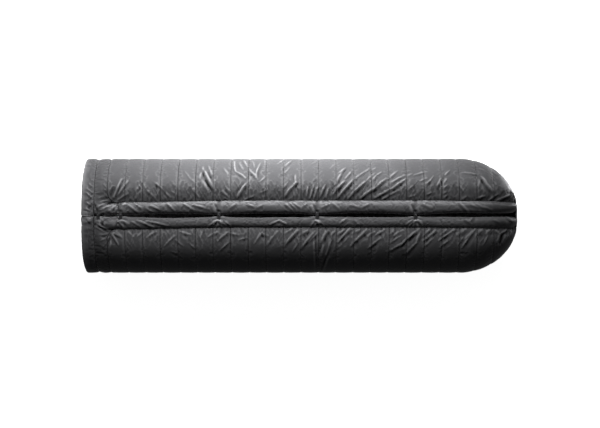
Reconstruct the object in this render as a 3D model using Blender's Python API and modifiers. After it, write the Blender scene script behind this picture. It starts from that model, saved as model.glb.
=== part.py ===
"""A down camping quilt, snapped shut into a tube and lying with its opening up.

Metres, +Z up. X runs from the head end (-X, open) to the foot (+X, closed), the opening faces +Z,
and the origin is on the floor under the middle. The body is built as it is sewn: a crowned outer
panel for each chamber, a baffle wall between it and the next one, and one lining inside. The down
between them is left out.
"""

import math

import bmesh
import bpy
from mathutils import Vector

# Overall size, closed and lofted
LENGTH = 2.000
WIDTH = 0.524
HEIGHT = 0.420
PRESSED_FLAT = 0.020
LOFT = 0.050
SKIN = 0.0012
GAP = 0.0003

# Lengths along the quilt, from the head end
HEM_LENGTH = 0.058
COLLAR_LENGTH = 0.0595
BAFFLE_PITCH = 0.0798
FOOT_CAP_LENGTH = 0.085
FOOT_ROUNDING = 0.272
FOOT_DROOP = 0.090
FOOT_BLUNTNESS = 0.25

# Chamber form
CROWN = 0.006
CROWN_SHOULDER = 0.30
EDGE_DIP = 0.022
EDGE_ROLL = 0.090
CORNER_RADIUS = 0.050
RING_STEPS = 16
EDGE_STEPS = (0.0, 0.35)
HEM_ROUND = 0.010

# Draft tubes along the opening
SLIT_HALF = 0.005
TUBE_WIDTH = 0.056
TUBE_DEPTH = 0.050
TUBE_PROUD = 0.004
TUBE_SIDES = 12
TUBE_FOOT_STEPS = 6
PINCH_SPAN = 0.022
PINCH_FLAT = 0.013
PINCH_FADE = 0.040

# Inner lining
LINER_THICKNESS = 0.001

# Press snaps on short webbing tabs across the opening
NECK_SNAP = 0.079
FIRST_SNAP = 0.179
LAST_SNAP_TO_FOOT = 0.4925
SNAP_COUNT = 4
SNAP_OFFSET = 0.009
TAB_SINK = 0.008
TAB_WIDTH = 0.015
TAB_THICKNESS = 0.0012
TAB_ROOT = 0.0185
TAB_MARGIN = 0.009
SNAP_STEPS = 12
CAP_RADIUS = 0.007
CAP_HEIGHT = 0.0021
POST_RADIUS = 0.0022
HOLE_RADIUS = 0.0026
SOCKET_RADIUS = 0.0055
SOCKET_HEIGHT = 0.0026
SOCKET_PLATE = 0.0008
SOCKET_BORE = 0.0036
STUD_HEAD_RADIUS = 0.0032
STUD_HEAD_HEIGHT = 0.0014
STUD_FLANGE = 0.0048
FLANGE_HEIGHT = 0.0008

# Finishes: colour, roughness, metallic
SHELL_FINISH = ((0.045, 0.046, 0.048), 0.42, 0.0)
LINER_FINISH = ((0.022, 0.022, 0.024), 0.60, 0.0)
WEBBING_FINISH = ((0.012, 0.012, 0.013), 0.80, 0.0)
SNAP_FINISH = ((0.020, 0.020, 0.022), 0.35, 0.6)

# Worked out from the sizes above
HEAD_X = -LENGTH / 2
COLLAR_X = HEAD_X + HEM_LENGTH
BODY_X = COLLAR_X + COLLAR_LENGTH
TIP_X = LENGTH / 2 - TUBE_PROUD
BAFFLE_COUNT = int((TIP_X - FOOT_CAP_LENGTH - BODY_X) / BAFFLE_PITCH)
FOOT_X = BODY_X + BAFFLE_PITCH * BAFFLE_COUNT
ROUNDING_X = TIP_X - FOOT_ROUNDING
FOOT_AXIS = FOOT_ROUNDING / math.sqrt(1.0 - FOOT_BLUNTNESS**2)
HALF_WIDTH = WIDTH / 2
HALF_HEIGHT = (HEIGHT - TUBE_PROUD + PRESSED_FLAT) / 2
GIRTH = math.pi * (HALF_WIDTH + HALF_HEIGHT)
CENTRE_HEIGHT = HALF_HEIGHT - PRESSED_FLAT
TUBE_OUTER = SLIT_HALF + TUBE_WIDTH
PANEL_EDGE = TUBE_OUTER + GAP
CREST_HEIGHT = CENTRE_HEIGHT + HALF_HEIGHT + TUBE_PROUD
TAB_HEIGHT = CREST_HEIGHT - TAB_SINK
HEM_THICKNESS = LOFT + GAP + LINER_THICKNESS
SNAP_REACH = TAB_ROOT + SNAP_OFFSET
SNAP_PITCH = (LENGTH - FIRST_SNAP - LAST_SNAP_TO_FOOT) / (SNAP_COUNT - 1)
SNAP_X = [HEAD_X + NECK_SNAP] + [HEAD_X + FIRST_SNAP + SNAP_PITCH * i for i in range(SNAP_COUNT)]
SOCKET_TOP = -TAB_THICKNESS / 2 - GAP
SOCKET_BOTTOM = SOCKET_TOP - SOCKET_HEIGHT
STUD_FLANGE_TOP = SOCKET_BOTTOM - GAP
STUD_TAB_TOP = STUD_FLANGE_TOP - FLANGE_HEIGHT - GAP
STUD_TAB_BOTTOM = STUD_TAB_TOP - TAB_THICKNESS
RIVET_TOP = STUD_TAB_BOTTOM - GAP
RIVET_BOTTOM = RIVET_TOP - FLANGE_HEIGHT
TAB_SEAT = TAB_SINK + TAB_THICKNESS / 2 + GAP
STUD_SEAT = TAB_SINK - RIVET_BOTTOM + GAP


def material(name, finish):
    """A Principled material of one colour, roughness and metallic value."""
    colour, roughness, metallic = finish
    made = bpy.data.materials.new(name)
    made.use_nodes = True
    shader = made.node_tree.nodes["Principled BSDF"]
    shader.inputs["Base Color"].default_value = (*colour, 1.0)
    shader.inputs["Roughness"].default_value = roughness
    shader.inputs["Metallic"].default_value = metallic
    return made


def place(data, name, finish, location=(0, 0, 0), parent=None):
    """Links an object for this mesh or curve into the quilt's collection."""
    obj = bpy.data.objects.new(name, data)
    obj.location = location
    obj.parent = parent
    data.materials.append(material(name, finish))
    quilt.objects.link(obj)
    return obj


def loft_mesh(name, loops):
    """A closed skin over loops of equally many points, with a flat cap on the first and the last."""
    build = bmesh.new()
    rings = [[build.verts.new(point) for point in loop] for loop in loops]
    count = len(rings[0])
    for near, far in zip(rings, rings[1:]):
        for i in range(count):
            j = (i + 1) % count
            build.faces.new((near[i], near[j], far[j], far[i]))
    build.faces.new(rings[0])
    build.faces.new(rings[-1])
    quads = [face for face in build.faces if len(face.verts) == 4]
    bmesh.ops.triangulate(build, faces=quads, quad_method="SHORT_EDGE")
    bmesh.ops.recalc_face_normals(build, faces=build.faces)
    mesh = bpy.data.meshes.new(name)
    build.to_mesh(mesh)
    build.free()
    mesh.shade_smooth()
    mesh.set_sharp_from_angle(angle=math.radians(40))
    return mesh


def foot_scale(x):
    """Share of the full section that is left at x: whole along the body, elliptic to a blunt end at the foot."""
    along = max(0.0, (x - ROUNDING_X) / FOOT_AXIS)
    return math.sqrt(1.0 - along * along)


def section_centre(x):
    """Height of the section's centre, which droops towards the foot."""
    return CENTRE_HEIGHT - FOOT_DROOP * (1.0 - foot_scale(x))


def wall_point(x, depth, share, edge):
    """A point in the quilt's wall, this deep under its crowns.

    share runs from the +Y edge of the opening, 0, under the quilt to the -Y edge, 1. edge is the
    half width left open at the top. The floor presses the underside flat.
    """
    half_width = HALF_WIDTH * foot_scale(x) - depth
    half_height = HALF_HEIGHT * foot_scale(x) - depth
    start = math.asin(min(1.0, edge / half_width))
    angle = start + share * 2 * (math.pi - start)
    height = section_centre(x) + half_height * math.cos(angle)
    return Vector((x, half_width * math.sin(angle), max(height, depth)))


def ring_shares():
    """Steps round the wall, with short ones where it rolls down to each edge of the opening."""
    edge = [step * EDGE_ROLL / GIRTH for step in EDGE_STEPS]
    inside = [i / RING_STEPS for i in range(1, RING_STEPS)]
    return [*edge, *inside, *(1.0 - share for share in reversed(edge))]


def edge_distance(share):
    """Distance round the wall from the nearer edge of the opening."""
    return min(share, 1.0 - share) * GIRTH


def corner_shift(share):
    """How far the collar's seam bends towards the foot where it rounds into the draft tube's seam."""
    left = max(0.0, 1.0 - edge_distance(share) / CORNER_RADIUS)
    return CORNER_RADIUS * (1.0 - math.sqrt(max(0.0, 1.0 - left * left)))


def dip(share):
    """How far the panel rolls down towards the draft tube's seam."""
    return EDGE_DIP * max(0.0, 1.0 - edge_distance(share) / EDGE_ROLL) ** 2


def chamber_loop(start, end, share):
    """Cross-section of a chamber: its crowned panel, and the baffle wall down from its foot-end seam."""
    low = dip(share)
    shoulder = CROWN_SHOULDER * (end - start)
    under_panel = low + CROWN + SKIN
    outline = [
        (start, low + CROWN),
        (start + shoulder, low),
        (end - shoulder, low),
        (end, low + CROWN),
        (end, LOFT),
        (end - SKIN, LOFT),
        (end - SKIN, under_panel),
        (start, under_panel),
    ]
    return [wall_point(x, depth, share, PANEL_EDGE) for x, depth in outline]


def add_baffles():
    """The row of chambers that go round the body from one draft tube to the other."""
    for number in range(BAFFLE_COUNT):
        seam = BODY_X + BAFFLE_PITCH * number
        loops = []
        for share in ring_shares():
            shift = corner_shift(share) if number == 0 else 0.0
            loops.append(chamber_loop(seam + shift + GAP / 2, seam + BAFFLE_PITCH - GAP / 2, share))
        name = f"baffle_{number + 1:02d}"
        place(loft_mesh(name, loops), name, SHELL_FINISH)


def add_collar():
    """The neck collar's chamber, whose seam rounds into the draft tubes' seams."""
    loops = [
        chamber_loop(COLLAR_X + GAP / 2, BODY_X + corner_shift(share) - GAP / 2, share)
        for share in ring_shares()
    ]
    place(loft_mesh("collar_tube", loops), "collar_tube", SHELL_FINISH)


def add_hem():
    """The padded hem round the neck opening, which runs right up to the slit."""
    inner_edge = COLLAR_X - GAP / 2
    near = HEAD_X + HEM_ROUND
    far = inner_edge - HEM_ROUND
    outline = [
        (HEAD_X, HEM_ROUND),
        (near, 0.0),
        (far, 0.0),
        (inner_edge, CROWN),
        (inner_edge, HEM_THICKNESS - CROWN),
        (far, HEM_THICKNESS),
        (near, HEM_THICKNESS),
        (HEAD_X, HEM_THICKNESS - HEM_ROUND),
    ]
    loops = [
        [wall_point(x, depth, share, SLIT_HALF) for x, depth in outline]
        for share in ring_shares()
    ]
    place(loft_mesh("hem_tube", loops), "hem_tube", SHELL_FINISH)


def add_liner():
    """The lining: a thin skin inside the baffle walls, from the hem to the foot."""
    seams = [BODY_X + BAFFLE_PITCH * i for i in range(1, BAFFLE_COUNT + 1)]
    stops = [COLLAR_X + GAP / 2] + [x for x in seams if x > ROUNDING_X - BAFFLE_PITCH]
    outside = LOFT + GAP
    inside = outside + LINER_THICKNESS
    loops = []
    for share in ring_shares():
        outer = [wall_point(x, outside, share, PANEL_EDGE) for x in stops]
        inner = [wall_point(x, inside, share, PANEL_EDGE) for x in reversed(stops)]
        loops.append(outer + inner)
    place(loft_mesh("liner", loops), "liner", LINER_FINISH)


def crest(x):
    """Height of the top of the wall's crown at x."""
    return section_centre(x) + HALF_HEIGHT * foot_scale(x)


def tube_stations():
    """Where the draft tube's sections stand: (foot of the normal on the crest, the normal, x)."""
    stops = {COLLAR_X + GAP / 2, ROUNDING_X}
    for x in SNAP_X:
        for offset in (PINCH_FLAT, PINCH_FADE):
            stops.update((x - offset, x + offset))
    up = Vector((0, 0, 1))
    found = [(Vector((x, 0, crest(x))), up, x) for x in sorted(stops) if x > COLLAR_X]
    drop = FOOT_DROOP + HALF_HEIGHT
    for step in range(1, TUBE_FOOT_STEPS + 1):
        angle = math.acos(FOOT_BLUNTNESS) * step / TUBE_FOOT_STEPS
        x = ROUNDING_X + FOOT_AXIS * math.sin(angle)
        normal = Vector((math.sin(angle) / FOOT_AXIS, 0, math.cos(angle) / drop)).normalized()
        found.append((Vector((x, 0, crest(x))), normal, x))
    return found


def pinch(x):
    """How hard a snap pinches the tube at x, from 0 to 1."""
    away = min(abs(x - snap) for snap in SNAP_X)
    return min(1.0, max(0.0, (PINCH_FADE - away) / (PINCH_FADE - PINCH_FLAT)))


def tube_loop(foot, normal, x, side, seat):
    """One section of a draft tube. Under a snap its shoulder is pressed down to the snap's seat."""
    middle = SLIT_HALF + TUBE_WIDTH / 2
    loop = []
    for step in range(TUBE_SIDES):
        angle = 2 * math.pi * step / TUBE_SIDES
        across = middle - TUBE_WIDTH / 2 * math.sin(angle)
        below = TUBE_DEPTH / 2 * (1.0 - math.cos(angle))
        if across < PINCH_SPAN and below < seat:
            below += pinch(x) * (seat - below)
        loop.append(foot + normal * (TUBE_PROUD - below) + Vector((0, side * across, 0)))
    return loop


def add_draft_tubes():
    """The two down-filled tubes that face each other across the opening."""
    floors = []
    for name, side, seat in (("draft_tube_left", 1, STUD_SEAT), ("draft_tube_right", -1, TAB_SEAT)):
        loops = [tube_loop(foot, normal, x, side, seat) for foot, normal, x in tube_stations()]
        place(loft_mesh(name, loops), name, SHELL_FINISH)
        floors.append(min(point.z for point in loops[-1]))
    return min(floors)


def add_foot_cap(tube_end):
    """The closed end: a thick bowl, notched on top where the draft tubes run down over it."""
    def ring(x, depth):
        return [wall_point(x, depth, i / RING_STEPS, 0.0) for i in range(RING_STEPS)]

    inner_end = TIP_X - LOFT
    seam = FOOT_X + GAP / 2
    loops = [ring(inner_end, LOFT), ring(seam, LOFT), ring(seam, CROWN)]
    for share in (0.25, 0.55, 0.80, 1.0):
        loops.append(ring(seam + (TIP_X - seam) * share, 0.0))
    cap = place(loft_mesh("foot_cap", loops), "foot_cap", SHELL_FINISH)

    floor = tube_end - GAP
    bpy.ops.mesh.primitive_cube_add(size=1.0)
    slot = bpy.context.object
    slot.name = "foot_slot_cutter"
    slot.dimensions = (2 * LOFT + TIP_X - FOOT_X, 2 * PANEL_EDGE, HEIGHT)
    slot.location = ((FOOT_X + TIP_X) / 2, 0, floor + HEIGHT / 2)
    slot.hide_render = True
    slot.display_type = "WIRE"
    for holder in list(slot.users_collection):
        holder.objects.unlink(slot)
    cutters.objects.link(slot)
    cut = cap.modifiers.new("tube slot", "BOOLEAN")
    cut.operation = "DIFFERENCE"
    cut.object = slot


def arc(centre_y, radius, start_deg, end_deg, steps):
    """Points of an arc about (0, centre_y)."""
    angles = [math.radians(start_deg + (end_deg - start_deg) * i / steps) for i in range(steps + 1)]
    return [(radius * math.cos(a), centre_y + radius * math.sin(a)) for a in angles]


def webbing(name, root_y, snap_y, end_sign, location, parent=None):
    """A flat webbing tab from root_y to a round end past the snap's hole, in its own XY plane."""
    half = TAB_WIDTH / 2
    end_y = snap_y + end_sign * (TAB_MARGIN - half)
    outline = [(-end_sign * half, root_y), (end_sign * half, root_y)]
    outline += arc(end_y, half, 0 if end_sign > 0 else 180, 180 if end_sign > 0 else 360, 6)
    hole = arc(snap_y, HOLE_RADIUS, 0, 330, 11)
    curve = bpy.data.curves.new(name, "CURVE")
    curve.dimensions = "2D"
    curve.fill_mode = "BOTH"
    curve.extrude = TAB_THICKNESS / 2
    for points in (outline, hole):
        spline = curve.splines.new("POLY")
        spline.points.add(len(points) - 1)
        for point, (x, y) in zip(spline.points, points):
            point.co = (x, y, 0, 1)
        spline.use_cyclic_u = True
    return place(curve, name, WEBBING_FINISH, location, parent)


def turned(name, profile, location, parent=None):
    """A shape turned about Z from (radius, height) points that run down its outer side."""
    mesh = bpy.data.meshes.new(name)
    closed = profile[0][0] > 0
    edges = [(i, i + 1) for i in range(len(profile) - 1)]
    if closed:
        edges.append((len(profile) - 1, 0))
    mesh.from_pydata([(radius, 0, height) for radius, height in profile], edges, [])
    obj = place(mesh, name, SNAP_FINISH, location, parent)
    screw = obj.modifiers.new("turn", "SCREW")
    screw.steps = SNAP_STEPS
    screw.render_steps = SNAP_STEPS
    screw.use_merge_vertices = True
    screw.merge_threshold = 0.00001
    return obj


def add_snap(number, x):
    """One press snap: its cap and socket on the hinged tab, its stud on the fixed one."""
    hinge = bpy.data.objects.new(f"tab_hinge_{number}", None)
    hinge.location = (x, -TAB_ROOT, TAB_HEIGHT)
    quilt.objects.link(hinge)
    webbing(f"snap_tab_{number}", 0.0, SNAP_REACH, 1, (0, 0, 0), hinge)

    cap_seat = TAB_THICKNESS / 2 + GAP
    cap = [
        (0, cap_seat + CAP_HEIGHT),
        (0.6 * CAP_RADIUS, cap_seat + 0.85 * CAP_HEIGHT),
        (CAP_RADIUS, cap_seat + 0.30 * CAP_HEIGHT),
        (CAP_RADIUS, cap_seat),
        (POST_RADIUS, cap_seat),
        (POST_RADIUS, SOCKET_TOP - SOCKET_PLATE),
        (0, SOCKET_TOP - SOCKET_PLATE),
    ]
    turned(f"snap_cap_{number}", cap, (0, SNAP_REACH, 0), hinge)

    plate = SOCKET_TOP - SOCKET_PLATE
    socket = [
        (SOCKET_RADIUS, SOCKET_TOP),
        (SOCKET_RADIUS, SOCKET_BOTTOM),
        (SOCKET_BORE, SOCKET_BOTTOM),
        (SOCKET_BORE, plate),
        (HOLE_RADIUS, plate),
        (HOLE_RADIUS, SOCKET_TOP),
    ]
    turned(f"snap_socket_{number}", socket, (0, SNAP_REACH, 0), hinge)

    seat = TAB_HEIGHT + (STUD_TAB_TOP + STUD_TAB_BOTTOM) / 2
    slope = (STUD_SEAT - TAB_SINK + STUD_TAB_BOTTOM - GAP) / STUD_SEAT
    shoulder = SLIT_HALF + TUBE_WIDTH / 2 - TUBE_WIDTH / 4
    stud_root = shoulder + slope * TUBE_WIDTH / 4
    webbing(f"stud_tab_{number}", stud_root, SNAP_OFFSET, -1, (x, 0, seat))

    head_top = STUD_FLANGE_TOP + GAP + STUD_HEAD_HEIGHT
    neck = 0.8 * STUD_HEAD_RADIUS
    stud = [
        (0, head_top),
        (0.7 * STUD_HEAD_RADIUS, head_top),
        (STUD_HEAD_RADIUS, head_top - 0.4 * STUD_HEAD_HEIGHT),
        (neck, STUD_FLANGE_TOP),
        (STUD_FLANGE, STUD_FLANGE_TOP),
        (STUD_FLANGE, STUD_FLANGE_TOP - FLANGE_HEIGHT),
        (POST_RADIUS, STUD_FLANGE_TOP - FLANGE_HEIGHT),
        (POST_RADIUS, RIVET_TOP),
        (STUD_FLANGE, RIVET_TOP),
        (STUD_FLANGE, RIVET_BOTTOM),
        (0, RIVET_BOTTOM),
    ]
    turned(f"snap_stud_{number}", stud, (x, SNAP_OFFSET, TAB_HEIGHT))


for old in list(bpy.data.objects):
    bpy.data.objects.remove(old)
quilt = bpy.data.collections.new("camping_quilt")
cutters = bpy.data.collections.new("cutters")
bpy.context.scene.collection.children.link(quilt)
bpy.context.scene.collection.children.link(cutters)

add_hem()
add_collar()
add_baffles()
add_liner()
add_foot_cap(add_draft_tubes())
for snap_number, snap_x in enumerate(SNAP_X):
    add_snap(snap_number + 1, snap_x)
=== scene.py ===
# %% [markdown]
# # A down camping quilt, snapped shut
#
# The quilt lies on its back with its opening up, head end to the left. It is cut like a real one:
# crowned panels of thin nylon between sewn seams, a padded hem and collar at the neck, two stuffed
# draft tubes that face each other across the opening, and press snaps on webbing tabs.
# The packed CAD model is the frame: every size below is read from it, or stands next to it.

# %% Load the frame
import math

import bmesh
import bpy
import numpy as np
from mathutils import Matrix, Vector


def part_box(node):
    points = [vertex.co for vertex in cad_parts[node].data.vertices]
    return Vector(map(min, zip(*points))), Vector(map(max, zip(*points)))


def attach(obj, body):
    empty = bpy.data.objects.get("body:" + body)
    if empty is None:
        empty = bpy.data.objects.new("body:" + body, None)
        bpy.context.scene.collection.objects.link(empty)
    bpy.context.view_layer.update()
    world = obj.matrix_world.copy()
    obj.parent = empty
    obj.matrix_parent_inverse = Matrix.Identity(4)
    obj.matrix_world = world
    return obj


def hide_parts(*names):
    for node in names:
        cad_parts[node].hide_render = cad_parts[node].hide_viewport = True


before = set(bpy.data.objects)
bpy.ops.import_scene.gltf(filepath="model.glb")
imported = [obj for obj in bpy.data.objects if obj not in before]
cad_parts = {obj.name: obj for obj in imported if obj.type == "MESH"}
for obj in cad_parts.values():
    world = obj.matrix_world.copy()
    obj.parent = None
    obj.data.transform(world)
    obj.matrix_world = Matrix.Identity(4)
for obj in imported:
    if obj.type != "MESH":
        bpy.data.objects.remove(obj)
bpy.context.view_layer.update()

# %% [markdown] ## Sizes from the frame  The real quilt is a tube: half an ellipse above its middle
# line and half below, with the underside pressed flat by the floor. Only what the solids don't show
# is written as a number.

# %% Read the sizes
def centre(node):
    """The middle of a CAD node's box."""
    return [(low + high) / 2 for low, high in zip(*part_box(node))]


hem_low, hem_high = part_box("hem_tube")
second_low, second_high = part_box("baffle_02")
tube_low, tube_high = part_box("draft_tube_left")
CHAMBERS = sum(name.startswith("baffle_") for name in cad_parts)
HEAD, COLLAR = hem_low[0], hem_high[0]
PITCH = second_high[0] - second_low[0]
BODY = second_low[0] - PITCH
FOOT = BODY + PITCH * CHAMBERS
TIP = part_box("foot_cap")[1][0]
HALF_WIDTH = second_high[1] + 0.002  # the cloth stands 2 mm outside the solids
TUBE_EDGE, SLIT, TOP = tube_high[1], tube_low[1], tube_high[2]
PROUD = 0.004  # the draft tubes above the body
PRESSED = 0.020  # what the floor flattens
HALF_HEIGHT = (TOP - PROUD + PRESSED) / 2
MIDDLE = HALF_HEIGHT - PRESSED
GIRTH = math.pi * (HALF_WIDTH + HALF_HEIGHT)
LOFT = 0.050  # thickness of the wall of down
CROWN, NECK_CROWN = 0.0015, 0.0045  # depth of a seam below the crown
FOOT_LENGTH, BLUNT = 0.272, 0.25  # the foot's rounding, and the share of the section left at its end
FOOT_DROOP = 0.090
ROUNDING = TIP - FOOT_LENGTH
FOOT_AXIS = FOOT_LENGTH / math.sqrt(1 - BLUNT**2)
EDGE_DIP, EDGE_ROLL = 0.026, 0.090  # depth and width of the roll down to a draft tube's seam
SWELL, SWELL_PEAK = 0.013, 0.070  # height of the swell beside it, and its distance from the seam
CORNER = 0.050  # radius of the collar's seam
FLOOR_GAP = 0.0008  # the lowest that the outer cloth lies
LEG_END = BODY + CORNER
SNAPS = [centre(f"snap_cap_{number}")[0] for number in range(1, 6)]
print(f"{CHAMBERS} chambers of {PITCH * 1000:.0f} mm, girth {GIRTH:.2f} m, snaps at", np.round(SNAPS, 3))

# %% [markdown]
# ## Camera, floor and light
#
# A catalogue picture of a quilt is taken from straight above with a long lens, so that the tube
# keeps its proportions. The rim at the neck still bows outwards a little, because the top of the
# tube is nearer to the lens than its sides. That bow sets the distance, 7.6 m above the middle line.

# %% Camera
VIEW_HEIGHT = 7.8
FRAME_WIDTH = 2.78
FRAME_CENTRE = (-0.0125, 0.0080)


def added(name, data):
    """A new object in the scene."""
    obj = bpy.data.objects.new(name, data)
    bpy.context.scene.collection.objects.link(obj)
    return obj


camera = added("camera", bpy.data.cameras.new("camera"))
camera.location = (*FRAME_CENTRE, VIEW_HEIGHT)
camera.data.type = "PERSP"
camera.data.sensor_width = 36.0
camera.data.lens = camera.data.sensor_width * (VIEW_HEIGHT - MIDDLE) / FRAME_WIDTH
camera.data.clip_end = 100.0
bpy.context.scene.camera = camera
print(f"lens {camera.data.lens:.1f} mm")

# %% [markdown]
# Shader maths reads best as maths. `Wire` holds one socket and turns + - * / into Math nodes, and
# `Finish.node` adds any other node: its type, its settings, then the values or wires of its sockets.

# %% Shader maths
def grey(shade, blue=None):
    """A grey for a colour socket, with its blue apart where it isn't quite neutral."""
    return shade, shade, shade if blue is None else blue, 1.0


class Wire:
    """One output socket in a finish. Sums and products with it add Math nodes."""

    def __init__(self, finish, socket):
        self.finish, self.socket = finish, socket

    def math(self, operation, first, second=0.0):
        return self.finish.node("Math", {"operation": operation}, {0: first, 1: second})

    def __add__(self, other):
        return self.math("ADD", self, other)

    def __sub__(self, other):
        return self.math("SUBTRACT", self, other)

    def __rsub__(self, other):
        return self.math("SUBTRACT", other, self)

    def __mul__(self, other):
        return self.math("MULTIPLY", self, other)

    def __truediv__(self, other):
        return self.math("DIVIDE", self, other)

    __radd__, __rmul__ = __add__, __mul__


class Finish:
    """The node tree of a material, or of the world."""

    def __init__(self, name, owner=None):
        self.owner = owner or bpy.data.materials.new(name)
        self.owner.use_nodes = True
        self.tree = self.owner.node_tree
        self.tree.nodes.clear()

    def node(self, kind, settings=None, sockets=None, out=0):
        """Adds a node. Settings go first, because some of them decide which sockets there are."""
        made = self.tree.nodes.new("ShaderNode" + kind)
        for name, value in (settings or {}).items():
            if name == "stops":
                for element, (place, shade) in zip(made.color_ramp.elements, value):
                    element.position, element.color = place, grey(shade)
            else:
                setattr(made, name, value)
        for name, value in (sockets or {}).items():
            if isinstance(value, Wire):
                self.tree.links.new(value.socket, made.inputs[name])
            else:
                made.inputs[name].default_value = value
        return Wire(self, made.outputs[out]) if made.outputs else None

    def mix(self, share, first, second):
        """A colour between two others. Each is a wire, or the four numbers of a colour."""
        return self.node("Mix", {"data_type": "RGBA"}, {0: share, 6: first, 7: second}, out=2)

    def bump(self, height, strength, **under):
        """Normals for a height in metres, over the normals in under if there are any."""
        return self.node("Bump", sockets={"Height": height, "Strength": strength, "Distance": 1.0, **under})

    def surface(self, shader, kind="OutputMaterial"):
        self.node(kind, sockets={"Surface": shader})
        return self.owner

    def backdrop(self, dull, seen):
        """One shader for the light that falls on the quilt, another for rays that show the backdrop."""
        rays = [self.node("LightPath", out=f"Is {kind} Ray") for kind in ("Camera", "Glossy", "Transmission")]
        shows = rays[0].math("MAXIMUM", rays[0].math("MAXIMUM", *rays[:2]), rays[2])
        return self.node("MixShader", sockets={0: shows, 1: dull, 2: seen})


print("a finish has", [name for name in vars(Finish) if not name.startswith("_")])

# %% [markdown]
# The floor is white paper. Its diffuse part takes the quilt's soft shadow and its glow lifts the rest
# to plain white, for the rays that draw the picture or a reflection in it. The light it throws back
# up at the quilt comes from a duller grey, as in a studio where black flags stand round the table.

# %% Floor
def studio_paper():
    paper = Finish("studio_paper")
    white = paper.node("BsdfDiffuse", sockets={"Color": grey(0.9)})
    glow = paper.node("Emission", sockets={"Color": grey(1.0), "Strength": 0.90})
    seen = paper.node("AddShader", sockets={0: white, 1: glow})
    dull = paper.node("BsdfDiffuse", sockets={"Color": grey(0.12)})
    return paper.surface(paper.backdrop(dull, seen))


PAPER = 30.0
floor_mesh = bpy.data.meshes.new("floor")
corners = [(x * PAPER, y * PAPER, 0) for x, y in ((-1, -1), (1, -1), (1, 1), (-1, 1))]
floor_mesh.from_pydata(corners, [], [(0, 1, 2, 3)])
floor_mesh.materials.append(studio_paper())
floor = added("floor", floor_mesh)
print("floor", corners[0], "to", corners[2])

# %% [markdown]
# The sheen runs along the side of the quilt that is up in the picture and the other side sinks into
# black. A long soft box that stands low on that side does this, and a second one, 45 degrees up,
# reaches over the draft tubes into the other side. Grids in front of both keep the beams narrow, so
# the light falls off towards the foot. The world adds a dim even light, and looks white.

# %% Light
def soft_box(name, place, aim, size, spread, energy):
    lamp = bpy.data.lights.new(name, "AREA")
    lamp.shape, lamp.size, lamp.size_y, lamp.energy = "RECTANGLE", *size, energy
    lamp.spread = math.radians(spread)
    holder = added(name, lamp)
    holder.location = place
    holder.rotation_euler = (Vector(aim) - Vector(place)).to_track_quat("-Z", "Y").to_euler()


soft_box("low_soft_box", (-0.12, 3.0, 0.28), aim=(-0.15, 0.0, 0.25), size=(1.3, 0.5), spread=45, energy=55.0)
soft_box("high_soft_box", (-0.3, 2.2, 2.4), aim=(-0.2, 0.0, 0.3), size=(1.3, 1.0), spread=72, energy=40.0)

studio = Finish("studio", bpy.data.worlds.new("studio"))
dim, plain = [studio.node("Background", sockets={"Color": grey(1.0), "Strength": strength})
              for strength in (0.14, 1.0)]
bpy.context.scene.world = studio.surface(studio.backdrop(dim, plain), "OutputWorld")
bpy.context.scene.view_settings.view_transform = "Standard"
print("lights", [item.name for item in bpy.data.lights])

# %% [markdown]
# ## The quilt's form
#
# Every piece of cloth here is a grid of points, rows along the quilt and columns round it. That is
# easier to steer than sculpting: a seam is a row, a fold is a sum over the grid, and the same grid
# goes through the cloth simulation. These functions give the plain form that the cloth hangs on.

# %% Form of the tube
DRIFT_UP, DRIFT_BACK = 0.0080, 0.0050


def eased(share):
    """A share from 0 to 1 that starts and ends gently."""
    return share * share * (3 - 2 * share)


def foot_scale(x):
    """Share of the full section left at x: whole along the body, rounding to a blunt end."""
    along = np.clip((x - ROUNDING) / FOOT_AXIS, 0.0, 1.0)
    return np.sqrt(1.0 - along**2)


def wall(x, depth, angle):
    """Points this deep in the quilt's wall. The angle is 0 on top and positive towards +Y."""
    scale = foot_scale(x)
    middle = MIDDLE - FOOT_DROOP * (1.0 - scale)
    y = (HALF_WIDTH * scale - depth) * np.sin(angle)
    z = middle + (HALF_HEIGHT * scale - depth) * np.cos(angle)
    return np.stack([x + 0 * angle, y, np.maximum(z, depth)], axis=-1)


def seam_drift(x):
    """How far the draft tubes' outer seams wander towards +Y: up after the head, back at the foot."""
    rise, fall = np.clip((x + 0.80) / 0.50, 0.0, 1.0), np.clip((x - 0.55) / 0.40, 0.0, 1.0)
    return DRIFT_UP * eased(rise) - DRIFT_BACK * eased(fall)


def round_angle(x, share, edge):
    """Angle at a share of the way round, from the +Y edge of the opening (0) to the -Y edge (1)."""
    drift, half = seam_drift(x) * (edge > 0), HALF_WIDTH * foot_scale(x)
    start, end = [np.arcsin(np.clip((edge + side * drift) / half, 0.0, 1.0)) for side in (1, -1)]
    return start + share * (2 * math.pi - start - end)


def crest(x):
    """Height of the wall's crown at x."""
    scale = foot_scale(x)
    return MIDDLE - FOOT_DROOP * (1.0 - scale) + HALF_HEIGHT * scale


def normals(grid, loop=False):
    """Unit normals of a grid of points."""
    along = np.gradient(grid, axis=0)
    if loop:
        across = (np.roll(grid, -1, axis=1) - np.roll(grid, 1, axis=1)) / 2
    else:
        across = np.gradient(grid, axis=1)
    found = np.cross(along, across)
    return found / np.maximum(np.linalg.norm(found, axis=-1, keepdims=True), 1e-9)


def raised(grid, height, loop=False):
    """The grid moved out along its normals."""
    return grid + normals(grid, loop) * height[..., None]


def off_floor(grid):
    """The grid with no point lower than cloth that lies on the floor."""
    grid[..., 2] = np.maximum(grid[..., 2], FLOOR_GAP)
    return grid


print("crest", crest(np.array([0.0, 0.9])).round(3))

# %% [markdown]
# Cloth is cut flat, so folds and seams are laid out on the flat cut: metres along the quilt, and
# metres round it from the middle of the opening, positive towards +Y. The columns stand close
# together on the side that is seen and further apart on the underside.

# %% Columns round the quilt
FINE, COARSE = 0.0055, 0.0095
FINE_REACH = 0.50


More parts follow.
